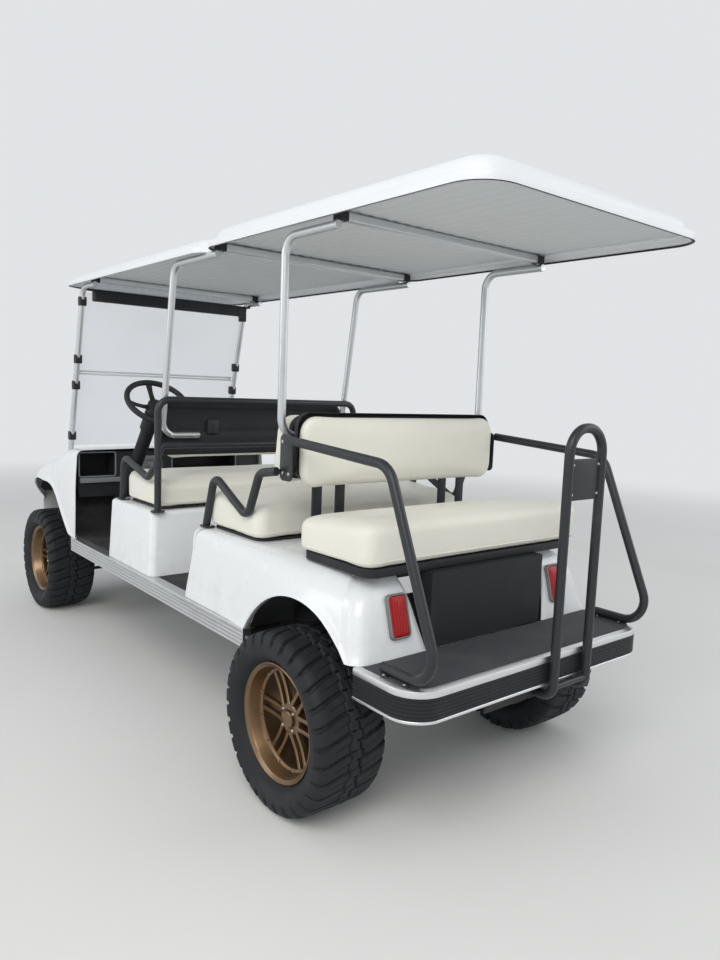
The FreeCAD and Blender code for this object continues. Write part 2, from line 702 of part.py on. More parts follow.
def make_pod():
    """Front seat pod: leaning front and rear walls, open below and under the bench."""
    front, rear = fy(POD_FRONT), fy(POD_REAR)
    stations = [(FLOOR_Z, front, rear, BODY_HALF - 4),
                (POD_TOP_Z, front - POD_FRONT_LEAN, rear - POD_REAR_LEAN, POD_TOP_HALF)]
    outer = Part.makeLoft([plan(z, y0, y1, half, 30) for z, y0, y1, half in stations], True, True)
    inner_rows = [(z, y0 + BODY_WALL, y1 - BODY_WALL, half - BODY_WALL) for z, y0, y1, half in stations]
    inner = Part.makeLoft([plan(z - BODY_WALL if z > FLOOR_Z else z - 1, y0, y1, half, 30 - BODY_WALL)
                           for z, y0, y1, half in inner_rows], True, True)
    hatch = block(-460, 460, front + 60, rear - 130, POD_TOP_Z - 20, POD_TOP_Z + 20)
    save("seat_pod", outer.cut([inner, hatch]))


def plan(z, y0, y1, half, radius):
    """Rounded rectangle in plan at one height."""
    rows = [(-half, y0, radius), (half, y0, radius), (half, y1, radius), (-half, y1, radius)]
    return stepped(rows, lambda x, y: V(x, y, z))


def rear_stations():
    low = FLOOR_Z
    return [(ry(-REAR_BODY_FRONT), BODY_HALF, 562, low, REAR_TOP_Z, 24, 0),
            (ry(-340), BODY_HALF + 2, 548, low, REAR_TOP_Z, 46, 0),
            (ry(20), BODY_HALF + 4, 536, low, REAR_TOP_Z, 90, 0), (ry(TAIL_Y), 566, 500, low, REAR_TOP_Z - 8, 90, 0)]


def make_rear_body():
    """Rear body shell with arches, tail corners and hatches under both benches."""
    stations = rear_stations()
    shell = body_loft(stations, 0, 0)
    first, last = stations[0], stations[-1]
    inner = [(first[0] + BODY_WALL,) + first[1:]] + stations[1:-1] + [(last[0] - BODY_WALL,) + last[1:]]
    wall = shell.cut(body_loft(inner, BODY_WALL, 30))
    tail_rows = [(ry(TAIL_Y), PLATE_TOP_Z, 0), (ry(TAIL_TOP_Y), TAIL_TOP_Z, 0),
                 (ry(TAIL_TOP_Y), 900, 0), (ry(400), 900, 0),
                 (ry(400), PLATE_TOP_Z, 0)]
    arches = both(rod(V(REAR_WELL_X, REAR_AXLE_Y, ARCH_Z), V(700, REAR_AXLE_Y, ARCH_Z), ARCH_R))
    low = block(-700, 700, ry(100), ry(400), FLOOR_Z - 40, PLATE_TOP_Z)
    hatches = [block(-460, 460, ry(-690), ry(-360), REAR_TOP_Z - 30, REAR_TOP_Z + 30),
               block(-430, 430, ry(-60), ry(200), REAR_TOP_Z - 30, REAR_TOP_Z + 30)]
    gap_rows = [(-PANEL_HALF_LOW, PLATE_TOP_Z - 20, 0), (PANEL_HALF_LOW, PLATE_TOP_Z - 20, 0),
                (PANEL_HALF_TOP, TAIL_TOP_Z, 0), (PANEL_HALF_TOP, 900, 0), (-PANEL_HALF_TOP, 900, 0), (-PANEL_HALF_TOP, TAIL_TOP_Z, 0)]
    gap = profile_y(gap_rows, ry(TAIL_TOP_Y - 40), ry(400))
    body = wall.cut(arches + [low, gap] + hatches)
    # The leaning tail: the upper part of the closing wall moves forward with its slope
    wedge = profile_x(tail_rows, -700, 700)
    body = body.cut(wedge)
    slab_rows = [(ry(TAIL_Y) - BODY_WALL, PLATE_TOP_Z, 0), (ry(TAIL_TOP_Y) - BODY_WALL, TAIL_TOP_Z, 0),
                 (ry(TAIL_TOP_Y), TAIL_TOP_Z, 0),
                 (ry(TAIL_Y), PLATE_TOP_Z, 0)]
    slab = profile_x(slab_rows, -700, 700).common(shell).cut(gap)
    shelf = block(-700, 700, ry(200), ry(TAIL_TOP_Y), TAIL_TOP_Z - BODY_WALL,
                  TAIL_TOP_Z).common(shell).cut([gap] + hatches)
    whole = fused([body, slab, shelf])
    save("rear_body", whole)
    ring = rod(V(REAR_WELL_X - LINER_T, REAR_AXLE_Y, ARCH_Z), V(570, REAR_AXLE_Y, ARCH_Z),
               ARCH_R + LINER_T)
    ring = ring.cut(rod(V(REAR_WELL_X, REAR_AXLE_Y, ARCH_Z), V(571, REAR_AXLE_Y, ARCH_Z), ARCH_R))
    inside = body_loft(inner, BODY_WALL + 0.5, 30)
    limit = block(0, 700, ry(-ARCH_R - 20), ry(ARCH_R - 20), FLOOR_Z + 1, 900)
    liner = ring.common(inside).common(limit)
    return max(liner.Solids, key=lambda solid: solid.Volume)


def make_tail():
    """Access panel between the tail corners, and the tail lamps on them."""
    low, high = PLATE_TOP_Z + MAT_T + SEAT_GAP, REAR_TOP_Z
    panel = block(-PANEL_HALF, PANEL_HALF, ry(TAIL_Y - 80), ry(TAIL_Y - 4), low, high)
    inside = block(-PANEL_HALF + BODY_WALL, PANEL_HALF - BODY_WALL, ry(TAIL_Y - 81),
                   ry(TAIL_Y - 4) - BODY_WALL,
                   low - 1, high - BODY_WALL)
    save("rear_panel", panel.cut(inside))
    lean = math.degrees(math.atan2(TAIL_Y - TAIL_TOP_Y, TAIL_TOP_Z - PLATE_TOP_Z))
    lamps = []
    for x in (-381, 381):
        mid_z = 660.0
        y = ry(TAIL_Y) - (mid_z - PLATE_TOP_Z) * math.tan(math.radians(lean))
        rows = [(x - 40, mid_z - 68, 16), (x + 40, mid_z - 68, 16), (x + 40, mid_z + 68, 16),
                (x - 40, mid_z + 68, 16)]
        lamp = profile_y(rows, y + SEAT_GAP, y + 22)
        lamp.rotate(V(x, y, mid_z), V(1, 0, 0), lean)
        lamps.append(lamp)
    save("tail_lamps", *lamps)


def plate_rows(inset):
    """Footplate in plan: straight front, rounded rear corners."""
    half = PLATE_HALF - inset
    rear = ry(PLATE_REAR) - inset
    radius = PLATE_CORNER_R - inset
    return [(-half, ry(PLATE_FRONT), 0), (half, ry(PLATE_FRONT), 0), (half, rear, radius),
            (-half, rear, radius)]


def make_footplate():
    """Rear footplate: deck pan with a mat on top and a ribbed band round its edge."""
    pan = profile_z(plate_rows(TRIM_T), PLATE_LOW_Z, PLATE_TOP_Z)
    hollow = profile_z(plate_rows(TRIM_T + 6), PLATE_LOW_Z - 1, PLATE_TOP_Z - 30)
    rail_room = block(-RAIL_X - 30 - RAIL_W, RAIL_X + 30 + RAIL_W, ry(200), ry(RAIL_REAR + 1),
                      PLATE_LOW_Z - 1, FLOOR_Z - FLOOR_T)
    save("footplate", pan.cut([hollow, rail_room]))
    mat = profile_z(plate_rows(TRIM_T + 18), PLATE_TOP_Z, PLATE_TOP_Z + MAT_T)
    mat = mat.cut(block(-700, 700, ry(PLATE_FRONT) - 1, ry(TAIL_Y + 4), PLATE_TOP_Z - 1,
                        PLATE_TOP_Z + 20))
    save("footplate_mat", mat)
    outer = profile_z(plate_rows(0), PLATE_LOW_Z, PLATE_TOP_Z)
    inner = profile_z(plate_rows(TRIM_T - SEAT_GAP), PLATE_LOW_Z - 1, PLATE_TOP_Z + 1)
    front = block(-700, 700, ry(PLATE_FRONT) - 2, ry(PLATE_FRONT) + 0.01, PLATE_LOW_Z - 1,
                  PLATE_TOP_Z + 1)
    band = outer.cut([inner, front])
    save("footplate_band", band)


def bench(y0, y1, low_z):
    """Bench cushion as a plain block with rounded corners."""
    rows = [(-BENCH_HALF, y0, BENCH_CORNER_R), (BENCH_HALF, y0, BENCH_CORNER_R),
            (BENCH_HALF, y1, BENCH_CORNER_R), (-BENCH_HALF, y1, BENCH_CORNER_R)]
    return profile_z(rows, low_z, low_z + BENCH_H)


def pad(y0, lean, low_z):
    """Backrest pad: rounded in front view, leaning by an angle."""
    body = profile_y(shell_rows(PAD_HALF, low_z, low_z + PAD_H), y0, y0 + PAD_T)
    body.rotate(V(0, y0, low_z), V(1, 0, 0), lean)
    return body


def shell_rows(half, low, high):
    """Rounded rectangle in front view."""
    return [(-half, low, 50), (half, low, 50), (half, high, 50), (-half, high, 50)]


def make_seats():
    """Bench cushions, their trays, backrest pads and the moulded shells behind these."""
    save("front_cushion", bench(fy(FRONT_BENCH_Y[0]), fy(FRONT_BENCH_Y[1]), BENCH_LOW_Z))
    save("middle_cushion", bench(ry(MIDDLE_BENCH_Y[0]), ry(MIDDLE_BENCH_Y[1]), BENCH_LOW_Z + 6))
    save("rear_cushion", bench(ry(REAR_BENCH_Y[0]), ry(REAR_BENCH_Y[1]), REAR_BENCH_LOW_Z))
    edge = 14.0
    trays = []
    for y0, y1, low, high in ((fy(FRONT_BENCH_Y[0]), fy(FRONT_BENCH_Y[1]), POD_TOP_Z, BENCH_LOW_Z),
                              (ry(MIDDLE_BENCH_Y[0]), ry(MIDDLE_BENCH_Y[1]), REAR_TOP_Z,
                               BENCH_LOW_Z + 6),
                              (ry(REAR_BENCH_Y[0]), ry(REAR_BENCH_Y[1]), REAR_TOP_Z, REAR_BENCH_LOW_Z)):
        trays.append(block(-BENCH_HALF + edge, BENCH_HALF - edge, y0 + edge, y1 - edge, low + SEAT_GAP,
                           high - SEAT_GAP))
    save("seat_trays", *trays)
    front_y = fy(LOOP_Y) - STRUT_R - SHELL_T - PAD_T - 2 * SEAT_GAP
    rear_y = ry(-182)
    save("front_backrest", pad(front_y, 0, PAD_LOW_Z))
    lean = math.radians(PAD_LEAN)
    depth = PAD_T + SHELL_T + SEAT_GAP
    reach = depth + STRUT_R + SEAT_GAP + (STRUT_FOOT_Z - PAD_LOW_Z) * math.sin(lean)
    middle_y = ry(STRUT_REAR) - reach / math.cos(lean)
    save("middle_backrest", pad(middle_y, -PAD_LEAN, PAD_LOW_Z))
    save("rear_backrest", pad(rear_y, 0, PAD_LOW_Z))
    shells = []
    for y, half, low, high in ((front_y + PAD_T + SEAT_GAP, 500, 1043, 1252),
                               (rear_y - SHELL_T - SEAT_GAP, PAD_HALF + 22, 1010, 1250)):
        shells.append(profile_y(shell_rows(half, low, high), y, y + SHELL_T))
    back = profile_y(shell_rows(PAD_HALF - 22, PAD_LOW_Z + 10, PAD_LOW_Z + PAD_H),
                     middle_y + PAD_T + SEAT_GAP, middle_y + depth)
    back.rotate(V(0, middle_y, PAD_LOW_Z), V(1, 0, 0), -PAD_LEAN)
    save("backrest_shells", *shells, back)


def make_seat_frames():
    """Black tube frames that carry the backrests, the arm rests and the handrails."""
    bend = 50.0
    y = fy(POST_Y)
    hoop = tube([V(POST_X, y, POD_TOP_Z), V(POST_X, y, TOP_BAR_Z), V(-POST_X, y, TOP_BAR_Z),
                 V(-POST_X, y, POD_TOP_Z)], bend, TUBE_R)
    bar = tube([V(POST_X, y, LOW_BAR_Z - 50), V(POST_X - 20, y, LOW_BAR_Z),
                V(-POST_X + 20, y, LOW_BAR_Z), V(-POST_X, y, LOW_BAR_Z - 50)], 25, TUBE_R - 2)
    front = fused([hoop, bar])
    plate_out = HANDRAIL_X - TUBE_R - SEAT_GAP
    cover = both(block(plate_out - 6, plate_out, ry(STRUT_REAR) + STRUT_R + SEAT_GAP, ry(-150), 1020,
                       1244))
    cross_y = ry(-182) - SHELL_T - 2 * SEAT_GAP - 12
    cross = rod(V(-plate_out, cross_y, 1052), V(plate_out, cross_y, 1052), 12)
    legs = [block(x - 20, x + 20, cross_y - 4, cross_y + 4, REAR_TOP_Z + SEAT_GAP, 1052)
            for x in (-354, -254, 254, 354)]
    save("seat_frames", front, fused(cover + [cross] + legs))
    arms = []
    foot = 4.0
    x = HANDRAIL_X + 10
    front_arm = [V(x, fy(1074), POD_TOP_Z + foot), V(x, fy(1092), 982), V(x, fy(1366), 912),
                 V(x, fy(POST_Y) - TUBE_R - 9, 985)]
    rear_arm = [V(x, ry(-688), REAR_TOP_Z + foot + 2), V(x, ry(-626), 992), V(x, ry(-380), 868),
                V(x - 6, ry(-310), 1010),
                V(HANDRAIL_X, ry(-215), 1068)]
    for points, top in ((front_arm, POD_TOP_Z + SEAT_GAP), (rear_arm, REAR_TOP_Z + SEAT_GAP)):
        start = points[0]
        bracket = block(start.x - 24, start.x + 18, start.y - 24, start.y + 34, top, top + 6)
        arms += both(fused([tube(points, 34, TUBE_R), bracket]))
    save("arm_rests", *arms)
    x = HANDRAIL_X
    foot_z = PLATE_TOP_Z + MAT_T + TUBE_R
    rail = tube([V(x, ry(-160), 1160), V(x, ry(348), 1126), V(x, ry(560), 630), V(x, ry(512), foot_z),
                 V(x, ry(356), foot_z)], 42, TUBE_R)
    save("handrails", *both(rail))


def make_grab_bar():
    """Upright loop behind the footplate, hooked forward under it."""
    y = ry(PLATE_REAR) + TUBE_R + SEAT_GAP
    x0, x1 = -182.0, -16.0
    low = PLATE_LOW_Z - 38
    butt = ry(RAIL_REAR) + END_PLATE_T + SEAT_GAP
    legs = [V(x0, butt, low), V(x0, y, low), V(x0, y, 1240), V(x1, y, 1240), V(x1, y, low),
            V(x1, butt, low)]
    loop = tube(legs, 40, TUBE_R)
    plate = block(x0, x1, y - 3, y + 3, 1022, 1148)
    tie = rod(V(x0, y, low + 34), V(x1, y, low + 34), 10)
    save("grab_bar", fused([loop, plate, tie]))


def roof_body(y0, y1, drop, shrink):
    """Outside of one roof moulding: upright lip, shelf, rounded wall and flat crown."""
    # Columns: height above the lip's foot, how far the edge has drawn in
    levels = [(0, 0), (24, 0), (28, 26), (58, 34), (74, 54), (82, 96)]
    plans = []
    for rise, draw in levels:
        z = ROOF_LOW_Z + rise - shrink - (drop if rise > 30 else 0)
        inset = draw + shrink
        plans.append(plan(z, y0 + inset, y1 - inset, ROOF_HALF - inset, ROOF_CORNER_R - draw * 0.8))
    return Part.makeLoft(plans, True, True)


def make_roof():
    """Front moulding lapped under the rear one, each hollow, with ribs over the cross bars."""
    joint, lap_end, tail = fy(ROOF_JOINT), fy(ROOF_JOINT + ROOF_LAP), ry(REAR_OVERHANG)
    drop, tuck = ROOF_STEP, ROOF_WALL + SEAT_GAP
    nose = fy(ROOF_FRONT)
    front = roof_body(nose - tuck, lap_end + 400, drop,
                      tuck).cut(roof_body(nose - tuck, lap_end + 400, drop, tuck + ROOF_WALL))
    front = front.common(block(-700, 700, nose - 1, lap_end, ROOF_LOW_Z - 50, ROOF_TOP_Z + 50))
    ends = (joint - 400, tail)
    rear = roof_body(*ends, 0, 0).cut(roof_body(*ends, 0, ROOF_WALL))
    keep = block(-700, 700, joint, tail + 1, ROOF_LOW_Z - 50, ROOF_TOP_Z + 50)
    slab = block(-700, 700, joint, joint + ROOF_WALL, ROOF_LOW_Z + 30, ROOF_TOP_Z + 50)
    step = slab.common(roof_body(*ends, 0, 0)).cut(roof_body(nose, lap_end + 400, drop, ROOF_WALL))
    bar_top = STRUT_TOP_Z + STRUT_R + CROSS_BAR_H + 2 * SEAT_GAP
    front_rib = block(-400, 400, fy(560), fy(590), bar_top, ROOF_TOP_Z - drop - tuck - ROOF_WALL / 2)
    rear_ribs = [block(-400, 400, y, y + 30, bar_top, ROOF_TOP_Z - ROOF_WALL / 2)
                 for y in (fy(1880), ry(20))]
    save("roof", fused([front, front_rib]), fused([rear.common(keep), step] + rear_ribs))


def glass_y(z):
    """Station of the windshield frame tubes' centre line at one height."""
    return fy(GLASS_LOW_Y + (z - GLASS_LOW_Z) * GLASS_SLOPE)


def windshield_tube(radius):
    """One frame tube of the windshield, from inside the cowl to the first cross bar."""
    foot = 860.0
    return tube([V(STRUT_X, glass_y(foot), foot), V(STRUT_X, glass_y(STRUT_TOP_Z), STRUT_TOP_Z),
                 V(STRUT_X, fy(620), STRUT_TOP_Z)], 60, radius)


def windshield_bar():
    """Joint bar between the two panes."""
    y = glass_y(PANE_JOINT_Z) - STRUT_R - 1.5
    return block(-GLASS_HALF, GLASS_HALF, y - 8, y - 1, PANE_JOINT_Z - 6 + SEAT_GAP,
                 PANE_JOINT_Z + 6 - SEAT_GAP)


def make_struts():
    """Bent struts, windshield frame and the cross bars under the roof."""
    top = STRUT_TOP_Z
    x = STRUT_X
    lean = (top - LOOP_Z) * math.tan(LOOP_LEAN)
    mid = tube([V(308, fy(LOOP_Y), LOOP_Z), V(x, fy(LOOP_Y), LOOP_Z), V(x, fy(LOOP_Y + lean), top),
                V(x, fy(1905), top)], 60, STRUT_R)
    rear = tube([V(400, ry(STRUT_REAR), STRUT_FOOT_Z), V(x, ry(STRUT_REAR), STRUT_FOOT_Z),
                 V(x, ry(STRUT_REAR), top), V(x, ry(48), top)], 60, STRUT_R)
    save("struts", *(both(mid) + both(rear)))
    save("windshield_frame", *both(windshield_tube(STRUT_R)), windshield_bar())
    low = top + STRUT_R + SEAT_GAP
    bars = [block(-x - BAR_END, x + BAR_END, y, y + 30, low, low + CROSS_BAR_H)
            for y in (fy(560), fy(1880), ry(20))]
    save("roof_cross_bars", *bars)


def make_windshield():
    """Two clear panes, one above the other, in front of the frame tubes."""
    gap = STRUT_R + 1.5
    panes = []
    for z0, z1 in ((966, PANE_JOINT_Z - 6), (PANE_JOINT_Z + 6, 1790)):
        y0, y1 = glass_y(z0) - gap, glass_y(z1) - gap
        panes.append(profile_x([(y0 - 5, z0, 0), (y0, z0, 0), (y1, z1, 0), (y1 - 5, z1, 0)],
                               -GLASS_HALF, GLASS_HALF))
    save("windshield", *panes)


def make_light_bar():
    """Lamp housing hung under the roof's front edge."""
    high = STRUT_TOP_Z - STRUT_R - SEAT_GAP
    housing = block(-450, 450, fy(470), fy(520), 1738, high)
    hanger = block(-STRUT_X, STRUT_X, fy(484), fy(508), high - 8, high)
    save("light_bar", fused([housing, hanger]))


def make_battery():
    """Battery pack under the front bench, as one block."""
    save("battery_pack", block(-380, 380, fy(POD_FRONT + 60), fy(POD_REAR - 120), FLOOR_Z + SEAT_GAP,
                               FLOOR_Z + 250))


def main():
    os.makedirs("parts", exist_ok=True)
    make_wheels()
    make_chassis()
    make_running_gear()
    make_steering()
    make_pedals()
    make_floor()
    make_rockers()
    front_liner = make_cowl()
    make_dash()
    make_front_fittings()
    make_pod()
    rear_liner = make_rear_body()
    save("arch_liners", *(both(front_liner) + both(rear_liner)))
    make_tail()
    make_footplate()
    make_seats()
    make_seat_frames()
    make_grab_bar()
    make_roof()
    make_struts()
    make_windshield()
    make_light_bar()
    make_battery()


main()
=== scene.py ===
"""Looks of a six-seat golf cart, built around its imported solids. Metres; the cart faces -Y, its left is +X."""
import math

import bmesh
import bpy
import numpy as np
from bpy.props import FloatProperty, FloatVectorProperty, IntProperty, PointerProperty
from mathutils import Matrix, Vector
from mathutils.bvhtree import BVHTree


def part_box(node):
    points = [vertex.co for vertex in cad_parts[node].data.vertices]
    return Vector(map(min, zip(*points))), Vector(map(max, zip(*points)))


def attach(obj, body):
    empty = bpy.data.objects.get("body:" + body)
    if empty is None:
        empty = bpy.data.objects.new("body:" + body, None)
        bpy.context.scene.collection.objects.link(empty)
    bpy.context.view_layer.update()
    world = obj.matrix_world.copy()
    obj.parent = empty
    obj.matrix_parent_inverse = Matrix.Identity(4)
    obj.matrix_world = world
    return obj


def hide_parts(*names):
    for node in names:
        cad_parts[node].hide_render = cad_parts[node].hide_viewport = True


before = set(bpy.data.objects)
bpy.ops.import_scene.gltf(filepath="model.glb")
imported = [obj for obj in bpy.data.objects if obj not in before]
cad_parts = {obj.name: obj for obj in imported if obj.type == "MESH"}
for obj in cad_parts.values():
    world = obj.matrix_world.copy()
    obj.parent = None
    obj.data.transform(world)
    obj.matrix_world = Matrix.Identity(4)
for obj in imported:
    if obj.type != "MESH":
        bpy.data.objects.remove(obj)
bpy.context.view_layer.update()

bl_info = {
    "name": "Golf cart looks",
    "version": (1, 0, 0),
    "blender": (4, 5, 0),
    "location": "View3D > Sidebar > Golf cart",
    "description": "Builds the visible surfaces and materials of a six-seat golf cart",
    "category": "Add Mesh",
}

FRONT_AXLE, REAR_AXLE = -1.4325, 1.1675
QUARTER, TURN = math.pi / 2, 2 * math.pi
X, Y, Z = (1, 0, 0), (0, 1, 0), (0, 0, 1)
MERGE = 0.00002
LINING_PITCH = 0.05
HORIZON = (0.757, 0.774, 0.792)
ALUMINIUM = (0.62, 0.64, 0.65)
PAINTS = {}


def fy(station):
    """Place along the cart, measured rearwards from the front axle."""
    return FRONT_AXLE + station


def ry(station):
    """Place along the cart, measured rearwards from the rear axle."""
    return REAR_AXLE + station


# Shapes as arrays: every maker returns corners and faces, which joined() gathers into one piece

def sheet_of(points, close_rows=False, close_columns=False, caps=False):
    """Surface through a (rows, columns, 3) array, wrapped round either way; caps close its first and last row."""
    rows, columns = points.shape[:2]
    i, j = np.meshgrid(np.arange(rows if close_rows else rows - 1),
                       np.arange(columns if close_columns else columns - 1), indexing="ij")
    after_i, after_j = (i + 1) % rows, (j + 1) % columns
    corners = (i * columns + j, after_i * columns + j, after_i * columns + after_j, i * columns + after_j)
    faces = np.stack(corners, axis=-1).reshape(-1, 4).tolist()
    if caps:
        faces += [list(range(columns)), list(range(rows * columns - 1, (rows - 1) * columns - 1, -1))]
    return points.reshape(-1, 3), faces


def joined(parts):
    """Several sets of corners and faces as one set."""
    corners, faces, offset = [], [], 0
    for points, part_faces in parts:
        corners.append(points)
        faces += [[index + offset for index in face] for face in part_faces]
        offset += len(points)
    return np.concatenate(corners), faces


def both(part):
    """The shape, and its mirror image on the cart's other side with its faces turned to point outwards again."""
    points, faces = part
    return [part, (points * (-1, 1, 1), [face[::-1] for face in faces])]


def unit(vectors):
    """Each vector along the last axis at a length of one."""
    vectors = np.array(vectors, float)
    return vectors / np.linalg.norm(vectors, axis=-1, keepdims=True)


def circle(around):
    """Cosines and sines of equal steps once round."""
    turn = np.linspace(0, TURN, around, endpoint=False)
    return np.cos(turn), np.sin(turn)


def rounded(half_u, half_v, radius, steps=6):
    """Rounded rectangle: each corner's arc is its centre plus radius times cosine and sine.

    The halves and the radius may be arrays, one value for each level; the result is (levels, points, 2)."""
    half_u, half_v, radius = np.broadcast_arrays(*np.atleast_1d(half_u, half_v, radius))
    turn = np.concatenate([np.linspace(0, QUARTER, steps + 1) + k * QUARTER for k in range(4)])
    sign_u, sign_v = np.repeat([1, -1, -1, 1], steps + 1), np.repeat([1, 1, -1, -1], steps + 1)
    u = (half_u - radius)[:, None] * sign_u + radius[:, None] * np.cos(turn)
    v = (half_v - radius)[:, None] * sign_v + radius[:, None] * np.sin(turn)
    return np.stack([u, v], axis=-1)


def box_axes(low, high, facing):
    """Middle of a box, its half sizes across, up and along the way it faces, and those three directions."""
    low, high = np.array(low, float), np.array(high, float)
    axes = np.array({"x": (Y, Z, X), "y": (Z, X, Y), "z": (X, Y, Z)}[facing], float)
    return (low + high) / 2, np.abs(axes @ ((high - low) / 2)), axes


def slab(low, high, facing="z", corner=0.01, edge=0.003):
    """Plate between two corner points: a rounded rectangle carried along the way it faces.

    Near both faces the outline draws in by edge times (1 - sine) while it rises by edge times cosine."""
    middle, size, axes = box_axes(low, high, facing)
    edge = min(edge, size[2] * 0.98)
    turn = np.linspace(0, QUARTER, 4)
    draw, rise = edge * (1 - np.sin(turn)), size[2] - edge + edge * np.cos(turn)
    levels, inset = np.concatenate([-rise, rise[::-1]]), np.concatenate([draw, draw[::-1]])
    corner = min(corner, min(size[:2]) * 0.999)
    shape = rounded(size[0] - inset, size[1] - inset, np.maximum(corner - inset, 0.0002))
    points = middle + shape[..., :1] * axes[0] + shape[..., 1:] * axes[1] + levels[:, None, None] * axes[2]
    return sheet_of(points, close_columns=True, caps=True)


def route(points, bend):
    """Line through the points whose corners are arcs, all of one radius or each of its own, as one array."""
    points = [np.array(point, float) for point in points]
    bends = bend if isinstance(bend, tuple) else [bend] * (len(points) - 2)
    pieces = [points[0][None]]
    for before, here, after, radius in zip(points, points[1:], points[2:], bends):
        back, ahead = unit(before - here), unit(after - here)
        half = math.acos(float(np.clip(back @ ahead, -1, 1))) / 2
        side = unit(np.cross(np.cross(-back, unit(back + ahead)), -back))
        sweep = math.pi - 2 * half
        turn = np.linspace(0, sweep, max(3, int(sweep / math.radians(9))))[:, None]
        start = here + back * radius / math.tan(half)
        pieces.append(start + radius * (np.sin(turn) * -back + (1 - np.cos(turn)) * side))
    pieces.append(points[-1][None])
    return np.concatenate(pieces)


def tube(points, bend, radius, around=20, ends=0.002):
    """Round bar along a route: at each point a circle square to the path; both ends are closed and eased.

    The two directions square to the path are carried from point to point without twist."""
    path = route(points, bend)
    near, far = unit(path[1] - path[0]), unit(path[-1] - path[-2])
    path = np.concatenate([path[:1], path[:1] + near * ends, path[1:-1], path[-1:] - far * ends, path[-1:]])
    size = np.full(len(path), radius)
    size[[0, -1]] = radius - ends
    run = unit(np.gradient(path, axis=0))
    sides = [unit(np.cross(run[0], Z if abs(run[0][2]) < 0.9 else X))]
    for ahead in run[1:]:
        sides.append(unit(sides[-1] - ahead * (sides[-1] @ ahead)))
    sides = np.array(sides)
    cos, sin = circle(around)
    ring = cos[None, :, None] * sides[:, None] + sin[None, :, None] * np.cross(sides, run)[:, None]
    return sheet_of(path[:, None] + size[:, None, None] * ring, close_columns=True, caps=True)


def lathe(rows, centre, axis, around=96, closed=False):
    """Rows of (along, radius) turned once round an axis: the point is the centre plus along times the axis
    plus radius times a turning arm."""
    rows, axis = np.array(rows, float), unit(axis)
    arm = unit(np.cross(axis, Z if abs(axis[2]) < 0.9 else X))
    cos, sin = circle(around)
    ring = cos[:, None] * arm + sin[:, None] * np.cross(axis, arm)
    points = np.array(centre, float) + rows[:, None, :1] * axis + rows[:, None, 1:] * ring[None]
    return sheet_of(points, close_rows=closed, close_columns=True, caps=not closed)


def stacked(rows, place, up, out, steps):
    """Rounded outlines of (half width, half height, outward, radius) rows, stacked from a place along out."""
    rows = np.array(rows, float)
    shape = rounded(rows[:, 0], rows[:, 1], rows[:, 3], steps)
    points = place + shape[..., :1] * np.array(X) + shape[..., 1:] * np.array(up) + rows[:, None, 2:3] * np.array(out)
    return sheet_of(points, close_columns=True, caps=True)


def band_round(path, radius, around=8):
    """Closed cord along a closed path of points: a circle square to the path at each point."""
    run = unit(np.roll(path, -1, axis=0) - np.roll(path, 1, axis=0))
    side = path - path.mean(axis=0)
    side = unit(side - run * (side * run).sum(axis=1)[:, None])
    cos, sin = circle(around)
    ring = cos[None, :, None] * side[:, None] + sin[None, :, None] * np.cross(side, run)[:, None]
    return sheet_of(path[:, None] + radius * ring, close_rows=True, close_columns=True)


def piece(name, part, finish, replaces=(), body="cart", sharp=32):
    """Makes the object of a piece, gives it its material, and ties it to the body that it rides on."""
    points, faces = part
    mesh = bpy.data.meshes.new(name)
    mesh.from_pydata(points.tolist(), [], faces)
    mesh.validate()
    item = bpy.data.objects.new(name, mesh)
    bpy.context.collection.objects.link(item)
    mesh.materials.append(PAINTS[finish])
    mesh.shade_smooth()
    mesh.set_sharp_from_angle(angle=math.radians(sharp))
    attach(item, body)
    if replaces:
        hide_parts(*replaces)
    return item


def outwards(item):
    """Merges doubles and turns every face of a closed piece outwards."""
    work = bmesh.new()
    work.from_mesh(item.data)
    bmesh.ops.remove_doubles(work, verts=work.verts, dist=MERGE)
    bmesh.ops.recalc_face_normals(work, faces=work.faces)
    work.to_mesh(item.data)
    work.free()
    return item


def closed_pieces(finish, slot, *rows):
    """Closed pieces of one finish, from rows of a name, a shape and the nodes that it replaces. The slot argument is
    not used.
    """
    for name, part, *nodes in rows:
        outwards(piece(name, part, finish, nodes))


def finish_with(item, kind, **settings):
    """Adds one modifier to a piece and applies it."""
    modifier = item.modifiers.new(kind.title(), kind)
    for key, value in settings.items():
        setattr(modifier, key, value)
    bpy.context.view_layer.objects.active = item
    bpy.ops.object.modifier_apply(modifier=modifier.name)


def read(items, name, width=3):
    """One attribute of all vertices or polygons as an array with a row for each."""
    values = np.zeros(len(items) * width)
    items.foreach_get(name, values)
    return values.reshape(-1, width)


def point_outwards(item):
    """Turns an open sheet over where most of its faces look towards its own middle."""
    faces = item.data.polygons
    centres, areas = read(faces, "center"), read(faces, "area", 1)
    outward = centres - (centres * areas).sum(axis=0) / areas.sum()
    if ((read(faces, "normal") * outward).sum(axis=1) * areas[:, 0]).sum() < 0:
        item.data.flip_normals()


# Materials: arithmetic on wrapped sockets adds Math nodes; every other node comes from Paint.node

